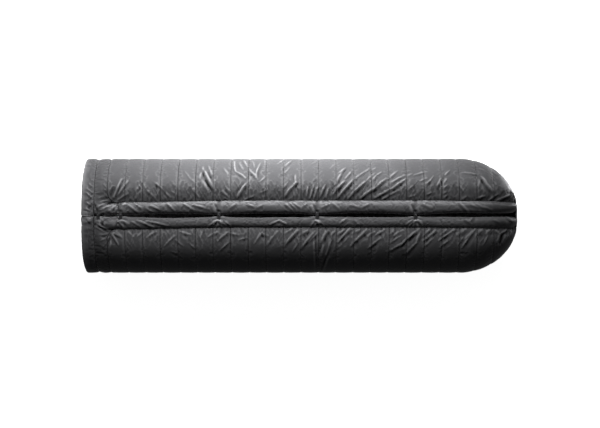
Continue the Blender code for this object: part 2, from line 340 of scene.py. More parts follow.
def column_shares():
    half = GIRTH / 2
    fine = np.linspace(0.0, FINE_REACH, round(FINE_REACH / FINE) + 1)
    coarse = np.linspace(FINE_REACH, half, round((half - FINE_REACH) / COARSE) + 1)[1:]
    reach = np.concatenate([fine, coarse])
    return np.concatenate([reach, GIRTH - reach[-2::-1]]) / GIRTH


shares = column_shares()
edge_distance = np.minimum(shares, 1 - shares) * GIRTH
across = np.where(shares <= 0.5, 1, -1) * (TUBE_EDGE + edge_distance)
print(len(shares), "columns")

# %% [markdown]
# ## Folds
#
# Thin nylon over down shows two kinds of relief. The long folds come from how this quilt was rolled
# and laid, so each of them is listed on the flat cut: where it starts and ends, how high and how wide
# it stands, and how far it bows. The small puckers come from the sewing, because the cloth is a
# little longer than the seam. Those come further down, from the cloth simulation and the seams.

# %% Smooth random fields
def ripples(u, v, seed):
    """A smooth random field from -1 to 1 that changes over about one unit of u and v."""
    table = np.random.default_rng(seed).uniform(-1.0, 1.0, (128, 128))
    i, j = np.floor(u).astype(int), np.floor(v).astype(int)
    fu, fv = eased(u - i), eased(v - j)

    def corner(a, b):
        return table[(i + a) % 128, (j + b) % 128]

    near = corner(0, 0) * (1 - fu) + corner(1, 0) * fu
    far = corner(0, 1) * (1 - fu) + corner(1, 1) * fu
    return near * (1 - fv) + far * fv


def slanted(x, a, degrees, long, short, seed):
    """Sharp crests that lean this many degrees from the quilt's length, from 0 to 1."""
    turn = math.radians(degrees)
    u = x * math.cos(turn) + a * math.sin(turn)
    v = a * math.cos(turn) - x * math.sin(turn)
    bend = 0.35 * ripples(x / 0.05, a / 0.05, seed + 1)
    return (1.0 - np.abs(ripples(u / long, v / short + bend, seed))) ** 3


def bell(offset, width):
    """1 at no offset, falling away on both sides over the width."""
    return np.exp(-((offset / width) ** 2))


# A share of the fold's height and of its width each; the hollow lies 2.4 widths beside the crest.
FOLD_CREST, FOLD_FOOT, FOLD_HOLLOW = (0.70, 1.1), (0.36, 2.4), (0.75, 1.9)
HOLLOW_BESIDE = 2.4


def fold(x, y, start, end, height, width, bow=0.0):
    """One fold between two points: a crest on a soft foot, with a hollow on the side away from the light.

    Round the sides of the tube the cloth is drawn tighter, and folds stand less high."""
    (x0, y0), (x1, y1) = start, end
    length = math.hypot(x1 - x0, y1 - y0)
    ux, uy = (x1 - x0) / length, (y1 - y0) / length
    along = ((x - x0) * ux + (y - y0) * uy) / length
    inside = np.clip(along, 0.0, 1.0)
    off = (x - x0) * uy - (y - y0) * ux + bow * np.sin(math.pi * inside)
    past = np.maximum(np.abs(along - 0.5) - 0.5, 0.0) * length / width
    fade = np.sqrt(np.sin(math.pi * np.clip(0.08 + 0.84 * inside, 0, 1))) * bell(past, 1.0)
    crest_line = sum(high * bell(off, wide * width) for high, wide in (FOLD_CREST, FOLD_FOOT))
    drawn = 1.0 - 0.35 * np.clip((np.abs(y) - 0.12) / 0.10, 0.0, 1.0)
    hollow = FOLD_HOLLOW[0] * bell(off - HOLLOW_BESIDE * width, FOLD_HOLLOW[1] * width)
    uneven = 0.80 + 0.20 * ripples(x / 0.016, y / 0.016, int(1000 * abs(x0 + y0)))
    return height * fade * uneven * drawn * (crest_line - hollow)


field = ripples(np.linspace(0, 40, 400), np.zeros(400), 1)
print(f"a ripple field runs from {field.min():.2f} to {field.max():.2f}")

# %% [markdown]
# The folds read like a maker's list, in millimetres: x and y of both ends as the quilt lies, then
# height and width, and the bow of those that aren't straight. Above the opening they fan out to the
# right; below it they lean the same way; more of them spread from the collar's corners, where the
# seam turns, and cross the draft tubes aslant. A crease is a fold with a negative height, pressed in.

# %% Folds listed on the flat cut
FOLDS_ABOVE = [
    (-853, 81, -820, 164, 4.3, 3.6), (-838, 90, -790, 157, 4.1, 3.6), (-834, 74, -789, 100, 4.3, 4),
    (-730, 133, -723, 172, 2.2, 3.2), (-727, 153, -708, 124, 2.2, 3.2), (-661, 146, -599, 85, 3, 3.2, 1),
    (-751, 116, -731, 146, 1.9, 3.5), (-703, 116, -663, 79, 2.2, 3.5), (-591, 111, -556, 90, 1.6, 3.5),
    (-535, 203, -495, 153, 2, 4), (-496, 120, -467, 83, 3, 3.5), (-455, 219, -401, 111, 6.2, 5, 2),
    (-429, 226, -398, 159, 3.5, 4), (-465, 172, -455, 212, 2.7, 4), (-362, 111, -328, 79, 3.5, 4),
    (-498, 164, -475, 133, 1.9, 3.5), (-361, 217, -340, 190, 2.7, 4), (-345, 133, -318, 90, 3, 4),
    (-351, 81, -324, 64, 3.2, 4), (-313, 249, -305, 201, 4.3, 3.6, -2), (-305, 201, -259, 171, 4.6, 3.6, 2),
    (-295, 84, -259, 155, 6.2, 4.6, -1), (-272, 256, -240, 206, 3.5, 4), (-240, 206, -203, 166, 4.6, 3.8, 2),
    (-213, 172, -193, 240, 4.1, 4, 4), (-229, 249, -218, 219, 3, 3.6), (-290, 240, -271, 212, 2.7, 4),
    (-172, 228, -171, 259, 2.2, 3.6), (-192, 155, -166, 181, 2.7, 3.6), (-117, 235, -83, 260, 3.5, 3.4),
    (-97, 212, -47, 256, 4.1, 3.6, 1), (-88, 186, -58, 221, 2.7, 3.6), (-34, 183, -31, 150, 3.2, 3.8, -2),
    (-83, 85, -31, 150, 5.4, 4.4, 3), (-88, 124, -70, 150, 2.7, 3.4), (-187, 107, -161, 116, 2.2, 3.6),
    (-273, 68, -226, 90, 2.7, 4), (16, 85, 24, 131, 3.2, 3), (32, 79, 48, 136, 3.8, 3.2),
    (48, 77, 66, 128, 3.5, 3.2), (74, 79, 100, 139, 4.1, 3.4), (104, 81, 114, 120, 3, 3.2),
    (126, 87, 189, 157, 4.6, 4, 2), (152, 76, 231, 166, 5.4, 4.4, 2), (204, 79, 280, 153, 5.7, 4.8, 2),
    (260, 80, 326, 126, 5.4, 4.8, 2), (146, 139, 184, 210, 4.1, 3.6, 1), (162, 194, 196, 218, 3, 3.4),
    (192, 168, 227, 206, 3.5, 3.6, 1), (231, 166, 304, 213, 3.8, 3.8, 2), (287, 159, 328, 194, 3.5, 3.8, 1),
    (29, 226, 65, 254, 1.6, 3.4), (121, 212, 148, 235, 1.6, 3.4), (310, 109, 376, 168, 4.9, 4.4, 2),
    (304, 153, 331, 177, 3.8, 3.6), (316, 170, 356, 197, 3.8, 3.6, 1), (306, 197, 335, 221, 2.7, 3.4),
    (327, 82, 405, 124, 4.9, 4.4, 1), (405, 124, 469, 170, 4.3, 4.2, 1), (385, 166, 430, 203, 3.8, 3.8, 1),
    (397, 148, 461, 183, 4.1, 3.8, 2), (359, 76, 433, 116, 4.1, 4.2, 1), (472, 179, 497, 192, 2.2, 3.2),
    (500, 183, 562, 200, 3, 3.6, 1), (530, 157, 565, 172, 2.7, 3.4), (474, 116, 496, 137, 2.4, 3.4),
    (471, 83, 506, 94, 2.4, 3.4), (557, 144, 592, 181, 3.2, 3.6, -2), (560, 96, 584, 107, 2.2, 3.2),
    (607, 136, 630, 188, 4.9, 4.2, -3), (640, 181, 668, 207, 4.1, 3.6), (636, 148, 651, 168, 2.2, 3.2),
    (634, 124, 650, 137, 2.2, 3.2), (633, 100, 651, 111, 2.4, 3.2), (631, 77, 653, 94, 2.7, 3.4),
    (712, 133, 728, 107, 2.7, 3.4), (714, 69, 738, 87, 3.2, 3.6), (721, 197, 796, 185, 3, 3.8, 2),
    (796, 185, 828, 153, 3.5, 4, 3), (818, 168, 865, 109, 5.9, 5, -4), (786, 79, 823, 90, 4.3, 4.4),
    (792, 129, 803, 164, 2.4, 3.6), (858, 155, 881, 141, 2.2, 3.6, 3), (842, 70, 886, 99, 4.1, 3.6),
    (878, 66, 939, 92, 4.6, 3.8, 1), (907, 81, 950, 94, 3.2, 3.4), (808, 215, 832, 202, 1.6, 3.6, 2),
]
FOLDS_BELOW = [
    (-859, -79, -831, -131, 4.9, 3.2), (-853, -76, -815, -98, 4.1, 3.2), (-840, -72, -815, -92, 2.7, 3.2),
    (-910, -139, -871, -94, 3.5, 3.4), (-788, -70, -761, -94, 2.7, 3.6), (-746, -92, -719, -70, 2.2, 3.6),
    (-703, -96, -663, -70, 2.7, 3.8, 1), (-626, -137, -577, -87, 3.2, 4.2, 1), (-571, -109, -538, -137, 2.2, 3.6),
    (-553, -70, -506, -84, 3.2, 3.6, -1), (-513, -122, -484, -148, 2.7, 3.6), (-460, -98, -455, -70, 3.2, 4.4),
    (-426, -94, -385, -72, 3.5, 4, 1), (-384, -113, -342, -75, 4.1, 4.4, 1), (-378, -159, -334, -118, 3, 4.2),
    (-593, -161, -567, -168, 2.2, 4), (-327, -76, -288, -85, 3, 4, -1), (-286, -107, -249, -98, 2.4, 3.8, 1),
    (-219, -124, -184, -74, 3.8, 4.2, 1), (-180, -79, -157, -89, 3.5, 4, -2), (-166, -137, -115, -70, 3.8, 4.6, 2),
    (-96, -135, -75, -105, 2.2, 4), (-86, -139, -23, -64, 5.7, 5, 3), (-83, -79, -49, -59, 3.2, 3.6),
    (-16, -87, 22, -65, 4.3, 5, 1), (-10, -150, 53, -70, 5.1, 4.6, 2), (27, -120, 66, -76, 4.1, 4.2, 1),
    (-49, -164, -21, -120, 2.7, 4.2), (83, -120, 106, -70, 6.8, 5, 2), (101, -190, 126, -111, 4.1, 4.4),
    (126, -87, 152, -62, 3.2, 3.6), (152, -85, 188, -62, 3.8, 3.8), (156, -120, 212, -58, 5.7, 4.4, 1),
    (163, -139, 206, -92, 2.7, 4.2), (215, -135, 290, -61, 5.7, 4.6, 1), (221, -79, 257, -61, 3.5, 3.8),
    (293, -146, 326, -122, 2.7, 4), (292, -92, 325, -70, 4.1, 4), (304, -137, 351, -100, 3.5, 4.4, 1),
    (342, -81, 370, -59, 4.1, 3.4), (320, -92, 350, -70, 3.2, 3.6), (389, -85, 411, -64, 3, 3.6),
    (404, -92, 451, -64, 3.8, 4, 1), (392, -124, 439, -89, 3.5, 4.2, 1), (383, -164, 455, -118, 4.1, 4.4),
    (455, -116, 523, -58, 6.8, 4.6), (434, -144, 455, -118, 3.5, 3.2), (467, -172, 511, -122, 4.9, 4.8, 2),
    (511, -122, 529, -70, 4.9, 4.8, 1), (538, -94, 572, -61, 4.6, 3.6), (543, -113, 598, -68, 4.6, 4, 1),
    (544, -142, 584, -100, 3, 4.2), (613, -111, 684, -61, 5.9, 3.6, 1), (620, -87, 650, -61, 4.1, 3.4),
    (618, -142, 651, -113, 3, 4), (698, -85, 736, -58, 5.9, 5.4, 1), (699, -131, 720, -98, 3, 3.8),
    (717, -142, 775, -62, 5.7, 4.4, 1), (728, -107, 760, -70, 3.5, 3.8), (780, -87, 811, -61, 6.2, 6.5),
    (814, -83, 847, -65, 4.9, 6), (814, -131, 848, -70, 3.2, 5, 1), (859, -64, 891, -73, 3.5, 4.4),
    (882, -120, 896, -79, 3.5, 4.4), (900, -83, 934, -61, 4.1, 4),
]
FOLDS_CREASES = [
    (-441, 159, -400, 100, -4.1, 4), (-288, 113, -248, 171, -4.9, 5), (57, -92, 64, -257, -3, 3.2),
    (80, -254, 107, -183, -4.9, 4, -2), (75, -179, 85, -113, -3.5, 4), (-877, -139, -868, -79, -3.2, 3),
    (628, 190, 628, 81, -1.9, 2.8), (899, -122, 909, -80, -2.6, 7),
]
FOLDS_NECK = [
    (-979, 107, -946, 77, 1.8, 3), (-974, 124, -944, 100, 1.5, 3), (-967, 148, -943, 124, 1.5, 3),
    (-962, 172, -943, 150, 1.3, 3), (-978, 64, -947, 42, 1.8, 3), (-899, 142, -869, 113, 1.9, 3),
    (-894, 164, -871, 139, 1.9, 3), (-889, 183, -870, 161, 1.6, 3), (-893, 120, -866, 94, 1.9, 3),
    (-888, 94, -862, 74, 1.9, 3), (-930, 38, -857, 68, 3.3, 3.6, 2), (-923, 20, -852, 55, 3, 3.6, 1),
    (-874, 20, -831, 53, 2.2, 3.4), (-917, 61, -866, 74, 1.9, 3.4), (-932, -31, -866, -70, 3.7, 3.2, -1),
    (-938, -48, -879, -79, 2.4, 3.2), (-929, -5, -895, -20, 1.9, 3.4), (-916, -83, -870, -85, 1.9, 3.2),
    (-913, -113, -873, -94, 2.2, 3.2), (-910, -144, -876, -118, 2.2, 3.2), (-939, -70, -935, -92, 1.8, 3),
    (-965, -57, -943, -70, 1.5, 3.4), (-1000, -3, -946, -2, -5, 4.5), (-992, -13, -958, -15, -2.6, 4, 1),
    (-985, 14, -950, 10, 2.2, 3.6, 1), (-978, 33, -947, 17, 2.2, 3.2), (-982, -30, -948, -22, 1.8, 3.4),
]
FOLDS_TUBES = [
    (-814, 48, -796, 55, 2.7, 4), (-788, 51, -739, 14, 3.2, 4), (-751, 51, -723, 33, 1.9, 3.6),
    (-684, 47, -639, 26, 3.8, 4.2), (-706, 38, -675, 16, 2.2, 3.6), (-609, 55, -577, 24, 3.8, 3.8),
    (-534, 53, -492, 28, 3.2, 3.8), (-495, 51, -447, 37, 3, 3.6), (-465, 42, -421, 31, 2.2, 3.6),
    (-830, -20, -811, -48, 3.2, 3.4), (-818, -16, -779, -38, 2.7, 3.6), (-746, -20, -671, -51, 3.5, 4),
    (-706, -23, -605, -45, 3.5, 4, 1), (-770, -25, -736, -44, 2.2, 3.6), (-426, -46, -389, -20, 3.2, 3.6),
    (-404, -44, -387, -20, 3, 3.2), (-386, -20, -381, -44, 3, 3.2), (-383, -20, -357, -40, 3, 3.4),
    (-324, 38, -305, 53, 2.2, 3.6), (-247, 53, -217, 40, 2.7, 3.6), (-212, 38, -187, 46, 1.9, 3.6),
    (-77, 54, -47, 28, 2.7, 3.2), (-59, 57, -29, 33, 2.7, 3.2), (-42, 59, -8, 34, 2.7, 3.2),
    (-10, 38, 16, 55, 1.9, 3.4), (81, 38, 124, 57, 2.2, 3.6), (137, 57, 167, 33, 2.4, 3.8),
    (214, 51, 261, 38, 1.9, 3.6), (266, 38, 296, 53, 2.4, 3.6), (-350, -25, -324, -44, 2.7, 3.6),
    (-148, -38, -105, -20, 4.1, 4), (-109, -19, -75, -36, 4.1, 4), (57, -20, 83, -38, 4.1, 3.6),
    (50, -38, 81, -31, 3, 3.2), (165, -33, 197, -12, 3.2, 4), (236, -20, 253, -40, 2.2, 3.8),
    (544, 55, 580, 36, 2.4, 4), (710, 55, 748, 18, 3.8, 4), (759, 51, 798, 36, 2.4, 3.4),
    (785, 53, 824, 33, 2.4, 3.4), (815, 42, 858, 27, 2.2, 3.4), (462, -42, 492, -18, 3.5, 3.6),
    (473, -48, 509, -23, 2.7, 3.4), (518, -18, 537, -35, 3.5, 3.6), (733, -16, 760, -35, 3, 3.6),
    (748, -25, 765, -8, 3, 3.6), (862, -14, 897, -31, 1.9, 4), (929, -5, 959, -25, 3.8, 4),
]
print(sum(map(len, (FOLDS_ABOVE, FOLDS_BELOW, FOLDS_CREASES, FOLDS_NECK, FOLDS_TUBES))), "folds placed")

# %% [markdown]
# Each closed snap pulls the lower tube's edge up into a lip, gathers a small fan below it, presses a
# dimple into the upper tube behind its cap, and a crease across it. These folds repeat at every snap.

# %% Folds made by the snaps
def snap_folds(x):
    lip = [(-30, -8, 0, -4, 3.0, 3.4, 1), (-4, -4, 30, -8, 3.0, 3.4, 1)]
    fan = [(-30, -46, -9, -22, 2.6, 3.4), (-3, -22, -11, -48, 2.6, 3.6), (13, -48, 4, -22, 2.6, 3.6),
           (9, -22, 34, -44, 2.8, 3.4)]
    crease = [(-17, 50, -3, 22, -3.4, 4.2), (8, 21, -8, 21, -3.2, 4.5)]
    return [(x * 1000 + x0, y0, x * 1000 + x1, y1, *rest) for x0, y0, x1, y1, *rest in lip + fan + crease]


FOLDS_SNAPS = [row for x in SNAPS for row in snap_folds(x)]


def folded(grid, folds, loop=False):
    """Raises folds on the upper side of a finished grid."""
    x, y = grid[..., 0], grid[..., 1]
    lift = np.zeros(x.shape)
    for row in folds:
        x0, y0, x1, y1, *shape = [value / 1000 for value in row]
        if x.min() - 0.02 < x1 and x0 < x.max() + 0.02:
            lift += fold(x, y, (x0, y0), (x1, y1), *shape)
    upper = np.clip((grid[..., 2] - MIDDLE) / 0.05, 0.0, 1.0)
    return raised(grid, lift * upper, loop)


print(len(FOLDS_SNAPS), "folds at the snaps")

# %% [markdown]
# ## The outer panels
#
# One panel for each chamber runs round the body from draft tube to draft tube. Between its seams it
# is crowned by the down. The first panel starts at the collar's seam, which turns through a quarter
# circle into the seam of the draft tube. All the panels are made as one cloth, so that two of them
# share the points of the seam between them, and are cut apart later.

# %% Lay out the panels
CELLS = 14


def corner_shift(distance):
    """How far the collar's seam bends towards the foot, near the draft tube."""
    left = np.clip(1.0 - distance / CORNER, 0.0, 1.0)
    return CORNER * (1.0 - np.sqrt(1.0 - left**2))


def dip(distance):
    """Depth near the draft tube: the cloth swells beside it and rolls down to its seam, deeper on the +Y side."""
    share = distance / SWELL_PEAK
    steep = np.where(shares > 0.5, 0.6, 1.0) * EDGE_DIP
    return steep * np.clip(1.0 - distance / EDGE_ROLL, 0.0, 1.0) ** 2 - SWELL * share * np.exp(1.0 - share)


def crowned(phase, crown=CROWN):
    """Depth below the crown across a chamber: steep at its seams and flat between them."""
    return crown * (1.0 - np.sin(math.pi * np.clip(phase, 0, 1)) ** 0.55)


row = np.arange(CHAMBERS * CELLS + 1)
phase = (row % CELLS) / CELLS
panel_x = BODY + PITCH * row[:, None] / CELLS + 0 * shares[None, :]
first = np.arange(CELLS)[:, None] / CELLS
panel_x[:CELLS] += corner_shift(edge_distance)[None, :] * (1.0 - first)
panel_a = across[None, :] + 0 * panel_x
panel_depth = dip(edge_distance)[None, :] + crowned(phase)[:, None]
panel_cloth = wall(panel_x, panel_depth, round_angle(panel_x, shares[None, :], TUBE_EDGE))
print("panel grid", panel_cloth.shape[:2])

# %% [markdown]
# A cloth simulation needs a start, or flat cloth stays flat. Faint slanted crests are the seeds of
# the puckers, and the simulation decides what becomes of them.

# %% Seeds of the puckers
def pucker_seed(x, a):
    fan = slanted(x, a, 52, 0.060, 0.017, 11) * np.clip((x + 0.05) / 0.2, 0, 1)
    cross = slanted(x, a, 118, 0.050, 0.016, 21) * np.clip((0.15 - x) / 0.3, 0, 1)
    return 0.0004 * (fan + cross) + 0.0002 * ripples(x / 0.013, a / 0.013, 31)


top_side = np.clip((0.30 - np.abs(panel_a)) / 0.12, 0.0, 1.0)
seam_rows = (row % CELLS == 0)[:, None] | np.zeros(shares.shape, bool)[None, :]
seed = pucker_seed(panel_x, panel_a) * ~seam_rows
panel_cloth = off_floor(raised(panel_cloth, seed))
print(f"seeds up to {seed.max() * 1000:.1f} mm")

# %% [markdown]
# ## The collar
#
# The collar is one band of cloth: it goes round the neck and runs down both sides of the opening as
# two short legs, which turn into the draft tubes at a seam across each. At its head end it is nearly
# flat and tucks into the slit; at its foot end it has the round back of a draft tube.

# %% Lay out the collar
COLLAR_ROWS = 16
LEG_COLUMNS = 18
LEG_TURN = (140, -92)  # degrees round a draft tube, from the slit to the panel's seam
FLAT_FROM, FLAT_TO, FLAT_BEND = 0.30, 0.52, 0.014  # where the flat head end bends over, and its radius
FLAT_SINK, TUCK = 0.010, 0.026  # below the crest, and further down in the slit


def blended(near, far, weight):
    return near + (far - near) * weight


def leg(side, u, body_edge):
    """One leg's columns, from down in the slit up and over to the panel's edge."""
    q = np.linspace(0.0, 1.0, LEG_COLUMNS)[None, :]
    x = blended(COLLAR, LEG_END, u)[:, None]
    top = crest(x) + PROUD
    turn = np.radians(blended(*LEG_TURN, q))
    tube_y = (SLIT + TUBE_EDGE) / 2 - (TUBE_EDGE - SLIT) / 2 * np.sin(turn)
    tube_z = top - LOFT / 2 * (1 - np.cos(turn))
    bend = np.clip((q - FLAT_FROM) / (FLAT_TO - FLAT_FROM), 0, 1) * math.pi / 2
    over = np.clip((q - FLAT_TO) / (1 - FLAT_TO), 0, 1)
    flat_y = SLIT + FLAT_BEND * (1 - np.cos(bend)) + over * (TUBE_EDGE - SLIT - FLAT_BEND)
    flat_z = top - FLAT_SINK - FLAT_BEND * (1 - np.sin(bend)) - TUCK * np.clip((FLAT_FROM - q) / FLAT_FROM, 0, 1)
    weight = eased(u)[:, None]
    points = np.stack([x + 0 * q, blended(flat_y, tube_y, weight), blended(flat_z, tube_z, weight)], -1)
    points[..., 1] *= side
    return points + (body_edge[:, None, :] - points[:, -1:, :]) * (q**3)[..., None]


u = np.linspace(0.0, 1.0, COLLAR_ROWS + 1)
collar_end = BODY + corner_shift(edge_distance)
collar_x = COLLAR + (collar_end - COLLAR)[None, :] * u[:, None]
collar_depth = dip(edge_distance)[None, :] * eased(u)[:, None] + crowned(u, NECK_CROWN)[:, None]
collar_body = wall(collar_x, collar_depth, round_angle(collar_x, shares[None, :], TUBE_EDGE))
left_leg = leg(1, u, collar_body[:, 0])[:, :-1]
right_leg = leg(-1, u, collar_body[:, -1])[:, -2::-1]
collar_cloth = np.concatenate([left_leg, collar_body, right_leg], axis=1)
leg_a = np.linspace(-0.03, TUBE_EDGE, LEG_COLUMNS)[:-1]
collar_a = np.concatenate([leg_a, across, -leg_a[::-1]])[None, :] + 0 * collar_cloth[..., 0]
seed = 0.0004 * ripples(collar_cloth[..., 0] / 0.012, collar_a / 0.012, 45)
seed[[0, -1]] = 0.0
collar_cloth = off_floor(raised(collar_cloth, seed))
print("collar grid", collar_cloth.shape[:2])

# %% [markdown]
# ## The hem
#
# The hem is a stuffed tube round the neck opening. Its section is a rounded block: the rim faces the
# head end, the collar's seam closes it behind. At the slit the two ends of the tube meet.

# %% Lay out the hem
HEM_THICK = LOFT + 0.0013
RIM, RIM_BOXY = HEM_THICK / 2, 0.42


def boxed(turn, power):
    """Cosine and sine of a turn, drawn towards the corners of a box by a power below 1."""
    return [np.sign(value) * np.abs(value) ** power for value in (np.cos(turn), np.sin(turn))]


def hem_section():
    """(x, depth) round the hem's section, from the collar's seam over the outside to the lining."""
    outer = np.linspace(COLLAR, HEAD + RIM, 8)
    outside = [(x, NECK_CROWN * (1 - math.sin(math.pi * 0.5 * i / 7) ** 0.6)) for i, x in enumerate(outer)]
    cosine, sine = boxed(np.linspace(0, math.pi, 12)[1:-1], RIM_BOXY)
    rim = list(zip(HEAD + RIM * (1 - sine), RIM * (1 - cosine)))
    inside = [(x, HEM_THICK - depth) for x, depth in outside[::-1]]
    back = [(COLLAR, depth) for depth in np.linspace(HEM_THICK - NECK_CROWN, NECK_CROWN, 8)[1:-1]]
    return np.array(outside + rim + inside + back)


section = hem_section()
hem_edges = np.array([0.0, 0.001, 0.003, 0.007, 0.018])
hem_reach = np.concatenate([hem_edges, edge_distance[4 : len(shares) // 2 + 1]])
hem_shares = np.concatenate([hem_reach, GIRTH - hem_reach[-2::-1]]) / GIRTH
hem_distance = np.minimum(hem_shares, 1 - hem_shares) * GIRTH
close = 0.93 + 0.07 * np.sqrt(1 - np.clip(1 - hem_distance / 0.007, 0, 1) ** 2)
middle = np.array([(HEAD + COLLAR) / 2, RIM])
rounded = middle + (section[None] - middle) * close[:, None, None]
hem_x, hem_depth = rounded[..., 0].T, rounded[..., 1].T
hem_cloth = wall(hem_x, hem_depth, round_angle(hem_x, hem_shares[None, :], 0.0))
hem_a = (np.where(hem_shares <= 0.5, 1, -1) * (SLIT + hem_distance))[None, :] + 0 * hem_x
heights = 0.0005 * ripples(hem_x / 0.014, hem_a / 0.014, 61)
hem_cloth = off_floor(raised(hem_cloth, -heights * (hem_depth < RIM)))
print("hem grid", hem_cloth.shape[:2])

# %% [markdown]
# ## The draft tubes
#
# Two stuffed tubes fill the opening and face each other across the slit. Each snap pulls them
# together, so the slit is narrow at the snaps and opens between them, where it also wanders. A seam
# crosses each tube at every snap, and the tube stands fuller between two of them. There its crest
# leans towards +Y, the lower tube's more than the upper one's. At the foot they follow the rounding
# down and end tucked under.

# %% Lay out the draft tubes
TUBE_COLUMNS = 34
TUBE_RISE = -0.001
TUBE_BOXY = 0.9
TUBE_LEAN = {1: 0.10, -1: 0.28}
TUBE_STEP = 0.0055
TUBE_GIRTH = 0.17
WAIST, WAIST_LENGTH = 0.10, 0.010  # how much the seam at a snap draws the tube in, and how far along
PINCH, SLIT_OPENS, SLIT_DRIFTS = 0.0015, 0.0060, 0.0035


def tube_path():
    """Stations along the crest: x, and the crest's outward normal in the XZ plane."""
    straight = np.linspace(LEG_END, ROUNDING, round((ROUNDING - LEG_END) / TUBE_STEP) + 1)
    turns = np.linspace(0, math.acos(BLUNT), 50)[1:]
    bent = ROUNDING + FOOT_AXIS * np.sin(turns)
    normal = np.stack([np.sin(turns) / FOOT_AXIS, np.cos(turns) / (FOOT_DROOP + HALF_HEIGHT)], -1)
    normal /= np.linalg.norm(normal, axis=1, keepdims=True)
    x = np.concatenate([straight, bent])
    return x, np.concatenate([np.tile([0.0, 1.0], (len(straight), 1)), normal])


def from_snap(x):
    """Distance to the nearest snap along the quilt, and the share of the way between two snaps."""
    away = np.min(np.abs(x[:, None] - np.array(SNAPS)[None]), axis=1)
    return away, np.clip(away / 0.22, 0, 1)


def tube_grid(side, seed):
    x, normal = tube_path()
    away, between = from_snap(x)
    turn = np.linspace(0, 2 * math.pi, TUBE_COLUMNS, endpoint=False)[None, :]
    waist = 1.0 - WAIST * bell(away, WAIST_LENGTH)
    fuller = 1.0 + 0.03 * ripples(x / 0.07, 0 * x + seed, 71 + seed)
    at_start = np.clip((x - LEG_END) / 0.012, 0, 1)
    to_tip = np.clip((len(x) - 1 - np.arange(len(x))) / 3.0, 0, 1)
    round_end = np.sqrt(1 - (1 - to_tip) ** 2) * 0.85 + 0.15
    fullness = waist * fuller * (0.90 + 0.10 * np.sqrt(at_start)) * round_end
    drift = SLIT_DRIFTS * np.clip((x + 0.4) / 0.8, -0.6, 1.0)
    inner = SLIT - PINCH + SLIT_OPENS * np.sin(math.pi / 2 * between) ** 0.7 + side * drift * between
    outer = TUBE_EDGE + side * seam_drift(x)
    half = (outer - inner) / 2
    cosine, sine = boxed(turn, TUBE_BOXY)
    y = (outer + inner)[:, None] / 2 - (half * fullness)[:, None] * sine
    lean = TUBE_LEAN[side] * (1 - bell(away, 0.035))[:, None]
    leaning = 1 - lean * side * sine * (cosine > 0)
    below = LOFT / 2 - (LOFT / 2 * fullness)[:, None] * cosine * leaning
    out = TUBE_RISE - below
    points = np.stack([x[:, None] + normal[:, :1] * out, side * y, crest(x)[:, None] + normal[:, 1:] * out], -1)
    return points[:, ::-1] if side > 0 else points


tube_turns = np.linspace(0, 1, TUBE_COLUMNS, endpoint=False)
tubes = {}
for name, side, seed in (("draft_tube_left", 1, 1), ("draft_tube_right", -1, 5)):
    grid = tube_grid(side, seed)
    x = grid[..., 0]
    a = tube_turns[None, :] * TUBE_GIRTH + 0 * x
    heights = 0.0005 * slanted(x, side * a, 128, 0.035, 0.022, 81 + seed)
    heights += 0.0001 * ripples(x / 0.012, a / 0.012, 85 + seed)
    tubes[name] = raised(grid, heights, loop=True)
    print(name, grid.shape[:2])

# %% [markdown]
# ## The foot end
#
# Behind the last seam the cloth closes over the foot. It comes together at a sewn oval on the end,
# which is gathered a little all round. Its top runs up under the draft tubes' ends.

# %% Lay out the foot end
GATHER, OVAL_BULGE, OVAL_RISE, OVAL_LEAN = 0.0022, 0.004, 0.024, 0.010


def foot_rows():
    start = math.asin((FOOT - ROUNDING) / FOOT_AXIS)
    return ROUNDING + FOOT_AXIS * np.sin(np.linspace(start, math.acos(BLUNT), 31))


foot_x = foot_rows()[:, None] + 0 * shares[None, :]
travel = np.linspace(0, 1, len(foot_x))
foot_dip = dip(edge_distance)[None, :] * ((1 - 0.4 * travel) * (1 - travel**6))[:, None]
foot_depth = foot_dip + CROWN * np.clip(1 - travel / 0.12, 0, 1)[:, None] ** 2
foot_cloth = wall(foot_x, foot_depth, round_angle(foot_x, shares[None, :], TUBE_EDGE))
foot_a = across[None, :] + 0 * foot_x
gather = 1.0 - np.abs(ripples(foot_a / 0.022, travel[:, None] * 2.0, 91))
heights = 0.0010 * gather**3 * (travel[:, None] ** 2) * (1 - travel[:, None] ** 6)
heights += 0.0010 * slanted(foot_x, foot_a, 60, 0.05, 0.016, 93) * np.sin(math.pi * travel)[:, None]
foot_cloth = off_floor(raised(foot_cloth, heights))

spokes = np.linspace(0, 2 * math.pi, 96, endpoint=False)[None, :]
rings = np.linspace(0.04, 1.0, 14)[:, None]
end_scale = float(foot_scale(np.array(TIP)))
end_y = HALF_WIDTH * end_scale * rings * np.sin(spokes)
end_z = MIDDLE - FOOT_DROOP * (1 - end_scale) + HALF_HEIGHT * end_scale * rings * np.cos(spokes)
to_top = rings * np.clip(np.cos(spokes), 0, 1) ** 2
end_z += OVAL_RISE * to_top
pleat = GATHER * np.cos(17 * spokes + 1.5 * np.sin(3 * spokes)) * rings**2 * (1 - rings**8)
end_x = TIP + OVAL_BULGE * (1 - rings**2.5) - OVAL_BULGE * rings**12 - OVAL_LEAN * to_top**2 + pleat
foot_end = np.stack([end_x + 0 * spokes, end_y, end_z], -1)[::-1]
print("foot grid", foot_cloth.shape[:2], "end oval", foot_end.shape[:2])

# %% [markdown]
# ## Cloth simulation
#
# All the outer cloth is puffed up in one simulation. The seams are pinned, the cloth between them is
# cut 1.4 percent too long, and a light pressure stands for the down. The cloth has nowhere to go but
# into puckers, which start at the seeds. Each point's move is capped, and the result is written back
# to the grids, so no Cloth modifier stays on a piece.

